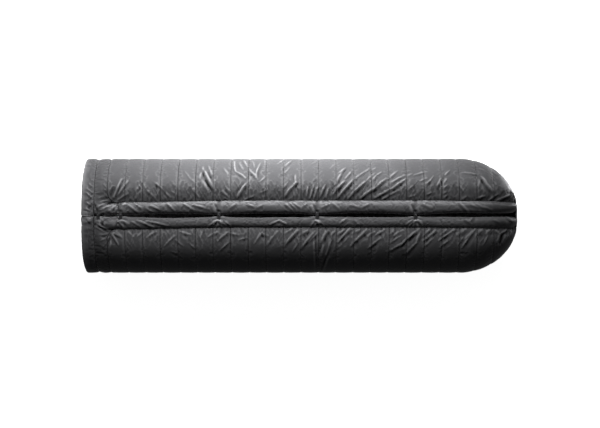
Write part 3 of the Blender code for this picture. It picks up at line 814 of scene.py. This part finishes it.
# %% Cloth simulation
def quads(rows, columns, loop):
    """Faces of a grid, as indices of its flattened points."""
    i, j = np.meshgrid(np.arange(rows - 1), np.arange(columns if loop else columns - 1), indexing="ij")
    k = (j + 1) % columns
    corners = [i * columns + j, (i + 1) * columns + j, (i + 1) * columns + k, i * columns + k]
    return np.stack(corners, -1).reshape(-1, 4)


def mesh_of(name, points, faces):
    """A mesh from arrays of points and four-cornered faces."""
    mesh = bpy.data.meshes.new(name)
    mesh.vertices.add(len(points))
    mesh.vertices.foreach_set("co", points.astype(np.float32).ravel())
    mesh.loops.add(faces.size)
    mesh.loops.foreach_set("vertex_index", faces.astype(np.int32).ravel())
    mesh.polygons.add(len(faces))
    mesh.polygons.foreach_set("loop_start", np.arange(0, faces.size, 4, dtype=np.int32))
    mesh.update(calc_edges=True)
    return mesh


def puff_up(cloths, slack=0.014, frames=12, pressure=1.0, cap=0.004):
    """Simulates several (grid, sewn, loop, fullness) cloths together and returns their new grids."""
    points = np.concatenate([grid.reshape(-1, 3) for grid, *_ in cloths])
    sewn = np.concatenate([held.ravel() for _, held, *_ in cloths])
    full = np.concatenate([part.ravel() for *_, part in cloths])
    starts = np.cumsum([0] + [grid[..., 0].size for grid, *_ in cloths])
    faces = [quads(*grid.shape[:2], loop) + start for (grid, _, loop, _), start in zip(cloths, starts)]
    sheet = added("cloth", mesh_of("cloth", points, np.concatenate(faces)))
    sheet.vertex_groups.new(name="sewn").add(np.nonzero(sewn)[0].tolist(), 1.0, "REPLACE")
    taut = sheet.vertex_groups.new(name="taut")
    for level in range(1, 11):
        these = np.nonzero(np.round((1 - full) * 10) == level)[0]
        taut.add(these.tolist(), level / 10, "REPLACE")
    cloth = sheet.modifiers.new("puff", "CLOTH").settings
    cloth.quality = 5
    cloth.mass = 0.3
    cloth.tension_stiffness = cloth.compression_stiffness = 15
    cloth.shear_stiffness = 5
    cloth.bending_stiffness = 0.05
    cloth.vertex_group_mass = "sewn"
    cloth.shrink_min = -slack
    cloth.shrink_max = 0.0
    cloth.vertex_group_shrink = "taut"
    cloth.use_pressure = True
    cloth.uniform_pressure_force = pressure
    cloth.effector_weights.gravity = 0.0
    for step in range(1, frames + 1):
        bpy.context.scene.frame_set(step)
    moved = np.empty(points.size, np.float32)
    shaped = sheet.evaluated_get(bpy.context.evaluated_depsgraph_get())
    shaped.data.vertices.foreach_get("co", moved)
    move = moved.reshape(-1, 3) - points
    length = np.linalg.norm(move, axis=1, keepdims=True)
    move *= np.minimum(1.0, cap / np.maximum(length, 1e-9))
    print(f"{len(points)} points moved {length.mean() * 1000:.1f} mm on average, {length.max() * 1000:.1f} at most")
    bpy.data.objects.remove(sheet)
    bpy.context.scene.frame_set(1)
    points = points + move
    points[:, 2] = np.maximum(points[:, 2], 0.0005)
    return [points[start:end].reshape(grid.shape) for start, end, (grid, *_) in zip(starts, starts[1:], cloths)]


print("the simulation is", "on")

# %% [markdown]
# What is sewn down: the panels' seams and edges, both ends of the collar, the hem along the collar,
# and the underside of each draft tube, with the seams that cross it.

# %% Puff up the cloth
def edges_sewn(grid):
    held = np.zeros(grid.shape[:2], bool)
    held[[0, -1]] = held[:, [0, -1]] = True
    return held


panel_held = edges_sewn(panel_cloth) | seam_rows
collar_held = edges_sewn(collar_cloth)
hem_held = edges_sewn(hem_cloth)
hem_held[-7:] = True
foot_held = edges_sewn(foot_cloth)
full_panel = np.clip(0.25 + 0.75 * top_side, 0, 1)
cloths = [
    (panel_cloth, panel_held, False, full_panel),
    (collar_cloth, collar_held, False, np.full(collar_held.shape, 0.5)),
    (foot_cloth, foot_held, False, np.full(foot_held.shape, 0.5)),
    (hem_cloth.swapaxes(0, 1), hem_held.T, True, np.full(hem_held.T.shape, 0.8)),
]
for name, grid in tubes.items():
    away, _ = from_snap(grid[:, 0, 0])
    held = (grid[..., 2] < crest(grid[..., 0]) - 0.030) & (grid[..., 0] < ROUNDING)
    held |= (away < 0.004)[:, None]
    held[[0, -1]] = True
    cloths.append((grid, held, True, np.full(held.shape, 0.25)))
shaped = puff_up(cloths)
panel_cloth, collar_cloth, foot_cloth = shaped[:3]
hem_cloth = shaped[3]
tubes = dict(zip(tubes, shaped[4:]))

# %% [markdown]
# ## Finer cloth
#
# A grid made twice as fine with a four-point curve keeps every puckered point where the simulation
# left it, while a subdivision surface would iron the puckers out. The folds and the smallest puckers
# along the seams are added on the finer grid.

# %% Finer grids
def finer(grid, axis=0, loop=False):
    """Twice as many cells along an axis. New points lie on a smooth curve through the old ones."""
    grid = np.moveaxis(grid, axis, 0)
    if loop:
        before, after, next_one = np.roll(grid, 1, 0), np.roll(grid, -1, 0), np.roll(grid, -2, 0)
        middle = (9 * (grid + after) - before - next_one) / 16
        made = np.stack([grid, middle], 1).reshape(-1, *grid.shape[1:])
    else:
        padded = np.concatenate([2 * grid[:1] - grid[1:2], grid, 2 * grid[-1:] - grid[-2:-1]])
        middle = (9 * (padded[1:-2] + padded[2:-1]) - padded[:-3] - padded[3:]) / 16
        made = np.empty((2 * len(grid) - 1, *grid.shape[1:]))
        made[::2], made[1::2] = grid, middle
    return np.moveaxis(made, 0, axis)


def finer_cloth(grid, loop=False):
    return finer(finer(grid, 0), 1, loop)


print("panel grid made finer", finer_cloth(panel_cloth).shape[:2])

# %% [markdown]
# ## Finishes
#
# The shell is a thin calendered nylon: heat and pressure make its face slick, so it is nearly black
# where it turns away from the light and silver where it faces it. Its yarns are finer than this
# picture can show but stand in close views, and so do the crinkles that every stuff sack leaves.

# %% Shell finish
def flat_cut(finish):
    """The flat cut's own metres: along, across, and the distance to the nearest seam."""
    spot = finish.node("Attribute", {"attribute_name": "flat_cut"}, out="Vector")
    return [finish.node("SeparateXYZ", sockets={0: spot}, out=i) for i in range(3)]


def noise(finish, spot, scale, detail, roughness=0.55):
    return finish.node("TexNoise", {"noise_dimensions": "3D"}, {
        "Vector": spot, "Scale": scale, "Detail": detail, "Roughness": roughness})


def threads(along, across_it, pitch):
    """Plain weave: yarns over and under, as a height from 0 to 1."""
    turn = 2 * math.pi / pitch
    warp = along.math("SINE", along * turn)
    weft = along.math("SINE", across_it * turn)
    return (warp * weft) * 0.5 + 0.5


def stitches(seam, along_seam, offset=0.0022, width=0.0005, pitch=0.0036):
    """A row of lockstitches beside a seam: 1 on the thread, 0 beside it."""
    off = seam.math("ABSOLUTE", seam - offset)
    line = off.math("LESS_THAN", off, width)
    beat = along_seam.math("FRACT", along_seam / pitch)
    return line * beat.math("LESS_THAN", beat, 0.72)


YARNS, RIPSTOP = 0.0007, 0.006
# A painted highlight for the crests of folds, painted shade for their hollows and the seam grooves, and the thread's
# own colour.
PAINTED_HIGHLIGHT, PAINTED_SHADE, THREAD = grey(0.18, 0.185), grey(0.002), grey(0.048, 0.050)


# Besides the cloth's own colour, this finish paints a highlight on the crests of folds and shade into their hollows
# and into the seam grooves.
def nylon(name, dark, light, rough, sheen, gloss, crinkle):
    finish = Finish(name)
    along, around, seam = flat_cut(finish)
    relief_kept = finish.node("Attribute", {"attribute_name": "standing"}, out="Fac")
    place = finish.node("TexCoord", out="Object")
    blotch = noise(finish, place, 9.0, 2.0)
    speck = noise(finish, place, 900.0, 2.0)
    weave = threads(along, around, YARNS)
    rip = along.math("MAXIMUM", *[
        line.math("LESS_THAN", line.math("ABSOLUTE", line.math("FRACT", line / RIPSTOP) - 0.5), 0.045)
        for line in (along, around)])
    thread = stitches(seam, around)
    shade = blotch * 0.5 + speck * 0.25 + weave * 0.15 + rip * 0.10
    cloth = finish.mix(shade, dark, light)
    # Painted highlight: the crests of folds and puckers are lightened towards a silver grey, as where the lamps catch
    # them.
    crest_share = seam.math("MAXIMUM", relief_kept, 0.0)
    highlighted = finish.mix(crest_share * 0.42, cloth, PAINTED_HIGHLIGHT)
    # Painted shade: the cloth darkens into each seam groove, unevenly along the seam, and down in the hollows of
    # folds.
    seam_shade = 1.0 - seam.math("MINIMUM", seam / 0.0035, 1.0)
    patches = noise(finish, place, 7.0, 1.0)
    seam_shade_strength = finish.node("MapRange", sockets={0: patches, 1: 0.35, 2: 0.62, 3: 0.35, 4: 0.95})
    # depth is the share of painted shade, from the seam groove or the hollow, whichever is darker.
    depth = seam.math("MAXIMUM", seam_shade * seam_shade_strength, relief_kept * -0.9)
    colour = finish.mix(thread, finish.mix(depth, highlighted, PAINTED_SHADE), THREAD)
    crumple = noise(finish, place, 70.0, 4.0, 0.6)
    sharp = 1.0 - crumple.math("ABSOLUTE", crumple * 2.0 - 1.0)
    soft = noise(finish, place, 160.0, 2.0)
    relief = finish.bump(sharp * 0.0011 * crinkle + soft * 0.0004 * crinkle, 0.55)
    fine = finish.bump(weave * 0.00006 + rip * 0.00006 + thread * 0.0004, 0.5, Normal=relief)
    roughness = blotch * 0.10 + speck * 0.08 + (rough - 0.09)
    return finish.surface(finish.node("BsdfPrincipled", sockets={
        "Base Color": colour, "Roughness": roughness + thread * 0.25, "Normal": fine, "Specular IOR Level": gloss,
        "Sheen Weight": sheen, "Sheen Roughness": 0.29, "Sheen Tint": grey(0.8, 0.82)}))


SHELL = nylon("shell_nylon", grey(0.024, 0.025), grey(0.042, 0.044), rough=0.50, sheen=1.0, gloss=0.0, crinkle=0.5)
LINING = nylon("lining_nylon", grey(0.014, 0.015), grey(0.028, 0.030), rough=0.55, sheen=0.05, gloss=0.5, crinkle=0.7)
print("finishes", SHELL.name, LINING.name)

# %% [markdown]
# ## Cut the cloth into its pieces
#
# Each grid becomes a named piece on the quilt's body, in place of the CAD solid that it dresses. The
# mesh carries the flat cut's metres and the distance to the nearest seam, so that weave, stitches and
# the painted shade in the seam grooves follow the cloth, and how far each point stands out, so that
# crests get a painted highlight and hollows painted shade. Each outer piece gets a turned-in allowance
# down its seams.

# %% Make a piece
RELIEF = 0.0020  # a crest this high counts as a whole one
CREST_FROM, HOLLOW_FROM = 0.18, 0.22


def travelled(grid, axis):
    """Metres walked along an axis of the grid."""
    steps = np.linalg.norm(np.diff(grid, axis=axis), axis=-1)
    start = np.zeros_like(np.take(steps, [0], axis))
    return np.cumsum(np.concatenate([start, steps], axis), axis)


def standing(grid, loop, reach=4):
    """How far each point stands out of the cloth round it: 1 on a sharp crest, -1 down in a hollow."""
    mean = grid
    for axis, wraps in ((0, False), (1, loop)):
        index = np.arange(grid.shape[axis])
        near = [index + step for step in range(-reach, reach + 1)]
        near = [i % len(index) if wraps else np.clip(i, 0, len(index) - 1) for i in near]
        mean = sum(np.take(mean, i, axis) for i in near) / len(near)
    height = ((grid - mean) * normals(grid, loop)).sum(-1)
    share = np.clip(height / RELIEF, -1.0, 1.0)
    hollow = np.minimum(share + HOLLOW_FROM, 0.0) / (1 - HOLLOW_FROM)
    return np.maximum(share - CREST_FROM, 0.0) / (1 - CREST_FROM) + hollow


def turned_in(grid, loop, allowance=0.006):
    """The cloth with its first and last rows turned down into their seams."""
    down = normals(grid, loop) * allowance
    rows = []
    for edge, inner in ((0, 1), (-1, -2)):
        inwards = grid[inner] - grid[edge]
        inwards /= np.maximum(np.linalg.norm(inwards, axis=-1, keepdims=True), 1e-9)
        rows.append(grid[edge] - down[edge] + inwards * 0.0006)
    return np.concatenate([rows[:1], grid, rows[1:]])


def write_flat_cut(mesh, along, around, seam):
    """Gives the points of a mesh their place on the flat cut, in metres."""
    spots = mesh.attributes.new("flat_cut", "FLOAT_VECTOR", "POINT")
    spots.data.foreach_set("vector", np.stack([along, around, seam], -1).astype(np.float32).ravel())


def placed(name, mesh, material, body, stands_for):
    """A finished mesh as a piece that rides a body, in place of CAD nodes."""
    mesh.materials.append(material)
    obj = added(name, mesh)
    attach(obj, body)
    if stands_for:
        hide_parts(*stands_for)
    return obj


def piece(name, grid, material, loop=False, seams=(True, True, True, True), stands_for=(),
          near=None):
    """A cloth grid as a finished piece. seams says which edges are sewn: first and last row and column."""
    along, around = travelled(grid, 0), travelled(grid, 1)
    rows, columns = grid.shape[:2]
    nearest = np.ones((rows, columns)) if near is None else near
    if near is None:
        for sewn, distance in zip(seams, (along, along[-1:] - along, around, around[:, -1:] - around)):
            nearest = np.minimum(nearest, distance) if sewn else nearest
    relief = standing(grid, loop)
    # The painted crest highlight fades out within 14 mm of a seam.
    relief = np.where(relief > 0, relief * np.clip(nearest / 0.014, 0.0, 1.0), relief)
    if seams[0] and seams[1]:
        grid = turned_in(grid, loop)
        fields = [np.pad(field, ((1, 1), (0, 0)), "edge") for field in (along, around, nearest, relief)]
        along, around, nearest, relief = fields
        nearest[[0, -1]] = 0.0
    made = mesh_of(name, grid.reshape(-1, 3), quads(len(grid), columns, loop))
    # The finish paints highlights on crests and shade in hollows from this relief.
    made.attributes.new("standing", "FLOAT", "POINT").data.foreach_set("value", relief.astype(np.float32).ravel())
    write_flat_cut(made, along, around, nearest)
    made.shade_smooth()
    if seams[0] and seams[1]:
        ends = np.empty(2 * len(made.edges), np.int32)
        made.edges.foreach_get("vertices", ends)
        row = ends.reshape(-1, 2) // columns
        fold_line = (row[:, 0] == row[:, 1]) & np.isin(row[:, 0], (1, len(grid) - 2))
        made.attributes.new("sharp_edge", "BOOLEAN", "EDGE").data.foreach_set("value", fold_line)
    obj = placed(name, made, material, "quilt", stands_for)
    return obj


print(f"crests show from {CREST_FROM * RELIEF * 1000:.2f} mm, hollows from {HOLLOW_FROM * RELIEF * 1000:.2f} mm")

# %% [markdown]
# The smallest puckers stand across the seams, where the thread draws the cloth together. They are
# strongest at the seam and gone a finger's width away from it.

# %% Seam puckers
def seam_puckers(grid, a, offsets, lean, seed, height=0.0011, loop=False):
    """Lifts short crests across the seams. offsets is the distance to the nearest seam, in metres."""
    x = grid[..., 0]
    slope = x + lean * np.abs(a)
    crests = (1.0 - np.abs(ripples(a / 0.0085 + lean * x / 0.012, x / 0.05, seed))) ** 2 - 0.35
    patch = 0.45 + 0.55 * ripples(slope / 0.05, a / 0.06, seed + 3)
    side = np.clip((0.28 - np.abs(a)) / 0.10, 0.2, 1.0)
    lift = height * side * crests * np.clip(patch, 0, 1) * np.exp(-offsets / 0.010) * np.clip(offsets / 0.002, 0, 1)
    return raised(grid, lift, loop)


PANEL_FOLDS = FOLDS_ABOVE + FOLDS_BELOW + FOLDS_CREASES
total = 0
fine_a = finer(panel_a[:1], 1)[0]
for number in range(CHAMBERS):
    strip = panel_cloth[number * CELLS : (number + 1) * CELLS + 1]
    strip = folded(finer_cloth(strip), PANEL_FOLDS)
    away = np.minimum(strip[..., 0] - strip[:1, :, 0], strip[-1:, :, 0] - strip[..., 0])
    a = fine_a[None, :] + 0 * away
    strip = seam_puckers(strip, a, np.abs(away), 0.8, 101 + number)
    label = f"baffle_{number + 1:02d}"
    piece(label.replace("baffle", "panel"), strip, SHELL, stands_for=[label])
    total += 2 * strip[..., 0].size
print(f"{CHAMBERS} panels, about {total} triangles")

# %% [markdown]
# The collar, the foot end, the hem and the draft tubes get their folds and puckers as the panels do.
# Every lower tab is sewn into the top of the lower draft tube, so the cloth there rises over its root.

# %% Collar, foot end and hem
MOUND, MOUND_LENGTH, MOUND_BEHIND, MOUND_BEFORE = 0.0045, 0.021, 0.016, 0.0095


def over_tabs(grid):
    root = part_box("snap_tab_1")[0][1]
    upper = grid[..., 2] > crest(grid[..., 0]) - 0.020
    for x in SNAPS:
        reach = np.where(grid[..., 1] < root, MOUND_BEHIND, MOUND_BEFORE)
        grid[..., 2] += MOUND * bell(grid[..., 0] - x, MOUND_LENGTH) * bell(grid[..., 1] - root, reach) * upper
    return grid


collar_fine = folded(finer_cloth(collar_cloth), FOLDS_NECK + FOLDS_TUBES + FOLDS_SNAPS)
away = np.minimum(collar_fine[..., 0] - collar_fine[:1, :, 0], collar_fine[-1:, :, 0] - collar_fine[..., 0])
collar_fine_a = finer_cloth(collar_a[..., None])[..., 0]
collar_fine = over_tabs(seam_puckers(collar_fine, collar_fine_a, np.abs(away), -0.9, 141, 0.0018))
piece("collar", collar_fine, SHELL, stands_for=["collar_tube"], near=0.6 * np.abs(away))
foot_fine = folded(finer_cloth(foot_cloth), PANEL_FOLDS)
piece("foot_panel", foot_fine, SHELL, stands_for=["foot_cap"])
end_fine = finer_cloth(foot_end, loop=True)
piece("foot_end_oval", end_fine, SHELL, loop=True, seams=(True, False, False, False))
hem_fine = folded(finer_cloth(hem_cloth, loop=True), FOLDS_NECK, loop=True)
hem_near = np.abs(COLLAR - hem_fine[..., 0])
hem_turn = finer(hem_distance[:, None]) * np.sign(hem_fine[..., 1])
hem_fine = seam_puckers(hem_fine, hem_turn, hem_near, -0.9, 151, 0.0030, loop=True)
hem_fine[0, :, 1] = np.minimum(hem_fine[0, :, 1], -0.0012)
hem_fine[-1, :, 1] = np.maximum(hem_fine[-1, :, 1], 0.0012)
piece("hem", hem_fine, SHELL, True, (False, False, False, False), ["hem_tube"], near=0.6 * hem_near)
for name, grid in tubes.items():
    grid = over_tabs(folded(finer_cloth(grid, loop=True), FOLDS_TUBES + FOLDS_SNAPS, loop=True))
    piece(name.replace("draft_tube", "tube_cloth"), grid, SHELL, True, (True, True, False, False), [name])
print("collar, foot end, hem and draft tubes made")

# %% [markdown]
# ## The lining
#
# Inside, one cloth closes all the chambers. It is sewn to the baffle walls, so it swells inwards
# between them, and it is seen from the neck opening.

# %% Lay out the lining
LINING_CELLS = 8
LINING_SWELL, LINING_FOLDS = 0.009, 0.0030
lining_rows = round((TIP - LOFT - COLLAR) / PITCH * LINING_CELLS)
lining_x = np.linspace(COLLAR, TIP - LOFT, lining_rows + 1)
lining_phase = ((lining_x - BODY) / PITCH) % 1.0
lining_shares = np.linspace(0, 1, 151)
lx = lining_x[:, None] + 0 * lining_shares[None, :]
la = (lining_shares[None, :] - 0.5) * GIRTH + 0 * lx
swell = LINING_SWELL * np.sin(math.pi * lining_phase)[:, None] ** 0.7
swell = swell * (0.8 + 0.2 * ripples(lx / 0.09, la / 0.11, 161))
swell += LINING_FOLDS * slanted(lx, la, 80, 0.05, 0.022, 163)
lining_depth = LOFT + 0.002 + swell
lining_grid = wall(lx, lining_depth, round_angle(lx, lining_shares[None, :], TUBE_EDGE - 0.004))
lining_grid[:, [0, -1], 2] += 0.022
lining = piece("lining", lining_grid[:, ::-1], LINING, seams=(True, True, False, False), stands_for=["liner"])
print("lining", lining_grid.shape[:2])

# %% [markdown]
# ## The closures
#
# Each closure is a press snap between two short webbing tabs: a tab sewn into the lower draft tube
# carries the cap and its socket, and swings up; a tab in the upper tube carries the stud. The CAD
# solids give every place; the pieces here have the rounded selvedges and the rolled rims.

# %% Finishes of the closures
RIB, YARN = 0.0011, 0.0006


def ribbed_webbing():
    finish = Finish("ribbed_webbing")
    along, around, edge = flat_cut(finish)
    rib, yarn = [along.math("ABSOLUTE", along.math("SINE", line * (math.pi / pitch)))
                 for line, pitch in ((along, RIB), (around, YARN))]
    speck = noise(finish, finish.node("TexCoord", out="Object"), 1200.0, 2.0)
    thread = stitches(edge, along, offset=0.0018, width=0.00035, pitch=0.0022)
    cloth = finish.mix(rib * 0.5 + yarn * 0.2 + speck * 0.3, grey(0.004), grey(0.015, 0.016))
    colour = finish.mix(thread, cloth, grey(0.035, 0.036))
    relief = finish.bump(yarn * 0.0001 + speck * 0.0001 + thread * 0.0003, 0.7)
    return finish.surface(finish.node("BsdfPrincipled", sockets={
        "Base Color": colour, "Roughness": 0.68 + speck * 0.2, "Specular IOR Level": 0.06, "Normal": relief}))


def coated_metal():
    finish = Finish("coated_metal")
    wear = noise(finish, finish.node("TexCoord", out="Object"), 400.0, 4.0, 0.7)
    worn = finish.node("ValToRGB", {"stops": [(0.58, 0.0), (0.72, 1.0)]}, {"Fac": wear})
    colour = finish.mix(worn, grey(0.010, 0.011), grey(0.090, 0.094))
    relief = finish.bump(wear * 0.0001, 0.3)
    return finish.surface(finish.node("BsdfPrincipled", sockets={
        "Base Color": colour, "Roughness": 0.30 + wear * 0.12, "Metallic": 0.4 + worn * 0.5,
        "Specular IOR Level": 0.25, "Normal": relief}))


WEBBING, METAL = ribbed_webbing(), coated_metal()
print("closure finishes", WEBBING.name, METAL.name)

# %% [markdown]
# A webbing tab is a loop of points that follows the strap: thick ribs across it, a rounded selvedge
# at each side and a rounded end past the snap. The turned parts are half sections spun round.

# %% Tabs and turned parts
STRAP_BOXY = 0.45


def strap(name, body, node):
    """A short webbing tab in place of a CAD tab, from its root in the tube to its rounded end."""
    low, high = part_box(node)
    middle, half = centre(node), (high[0] - low[0]) / 2
    root, end = (low[1], high[1]) if node.startswith("snap") else (high[1], low[1])
    length, towards = abs(end - root), math.copysign(1.0, end - root)
    straight = np.arange(0.0, length - half, RIB / 4)
    bend = np.linspace(0.0, math.pi / 2, 14)[:-1]
    along = np.concatenate([straight, length - half + half * np.sin(bend), [length - 0.0001]])
    wide = np.concatenate([0 * straight + half, half * np.cos(bend), [half * 0.05]])
    rib = 0.86 + 0.14 * np.abs(np.sin(math.pi * along / RIB))
    thick = (high[2] - low[2]) / 2 * rib * np.minimum(1.0, 0.35 + wide / half)
    turn = np.linspace(0, 2 * math.pi, 32, endpoint=False)
    flat, up = boxed(turn, STRAP_BOXY)
    x = middle[0] + wide[:, None] * flat[None, :]
    y = root + towards * along[:, None] + 0 * x
    z = middle[2] + thick[:, None] * up[None, :]
    grid = np.stack([x, y, z], -1)
    edge = np.minimum(half - np.abs(x - middle[0]), length - along[:, None])
    return closed(name, grid if towards < 0 else grid[:, ::-1], WEBBING, body, node, edge)


def spun(name, section, body, node, base):
    """A turned part: (radius, height) in millimetres from the top of the axis to its bottom."""
    axis = centre(node)
    radius, height = np.array(section).T / 1000
    turn = np.linspace(0, 2 * math.pi, 64, endpoint=False)
    x = axis[0] + radius[:, None] * np.cos(turn)
    y = axis[1] + radius[:, None] * np.sin(turn)
    grid = np.stack([x, y, base + height[:, None] + 0 * x], -1)
    return closed(name, grid, METAL, body, node, 0 * x)


def closed(name, grid, material, body, node, edge):
    """A loop grid whose two ends are filled, as a piece that stands for a CAD node."""
    rows, columns = grid.shape[:2]
    made = mesh_of(name, grid.reshape(-1, 3), quads(rows, columns, True))
    write_flat_cut(made, travelled(grid, 0), grid[..., 0] - grid[..., 0].mean(), edge + 0 * grid[..., 0])
    shape = bmesh.new()
    shape.from_mesh(made)
    bmesh.ops.remove_doubles(shape, verts=shape.verts, dist=1e-7)
    bmesh.ops.holes_fill(shape, edges=[open_edge for open_edge in shape.edges if open_edge.is_boundary], sides=0)
    bmesh.ops.recalc_face_normals(shape, faces=shape.faces)
    shape.to_mesh(made)
    shape.free()
    made.shade_smooth()
    made.set_sharp_from_angle(angle=math.radians(50))
    return placed(name, made, material, body, [node])


CAP = [(0.1, 2.35), (2.4, 2.35), (3.1, 2.25), (3.5, 1.95), (4.0, 1.9), (4.5, 2.2), (5.1, 2.75), (5.8, 2.98),
       (6.4, 2.8), (6.8, 2.3), (7.0, 1.6), (6.9, 1.1), (6.6, 0.9), (1.6, 0.9), (1.5, 0.6), (1.5, -1.5), (1.3, -1.7),
       (0.1, -1.7)]
SOCKET = [(1.9, -1.7), (1.9, -0.9), (4.9, -0.9), (5.3, -1.05), (5.5, -1.4), (5.5, -2.2), (5.3, -2.45), (5.3, -2.7),
          (5.45, -2.9), (5.4, -3.3), (5.1, -3.5), (4.2, -3.5), (3.8, -3.4), (3.6, -3.1), (3.75, -2.7), (3.75, -2.0),
          (3.6, -1.7), (1.9, -1.7)]
STUD = [(0.1, -2.1), (1.6, -2.1), (2.5, -2.2), (3.0, -2.45), (3.2, -2.8), (3.1, -3.1), (2.7, -3.4), (2.6, -3.75),
        (4.3, -3.8), (4.7, -3.95), (4.8, -4.2), (4.7, -4.5), (4.4, -4.6), (1.5, -4.6), (1.5, -6.4), (4.3, -6.4),
        (4.7, -6.55), (4.8, -6.8), (4.7, -7.05), (4.3, -7.2), (0.1, -7.2)]
for number in range(1, 6):
    flap, middle = f"snap_flap_{number}", centre(f"snap_tab_{number}")[2]
    strap(f"flap_webbing_{number}", flap, f"snap_tab_{number}")
    spun(f"flap_cap_{number}", CAP, flap, f"snap_cap_{number}", middle)
    spun(f"flap_socket_{number}", SOCKET, flap, f"snap_socket_{number}", middle)
    strap(f"tube_webbing_{number}", "quilt", f"stud_tab_{number}")
    spun(f"tube_stud_{number}", STUD, "quilt", f"snap_stud_{number}", middle)
print("five closures made")
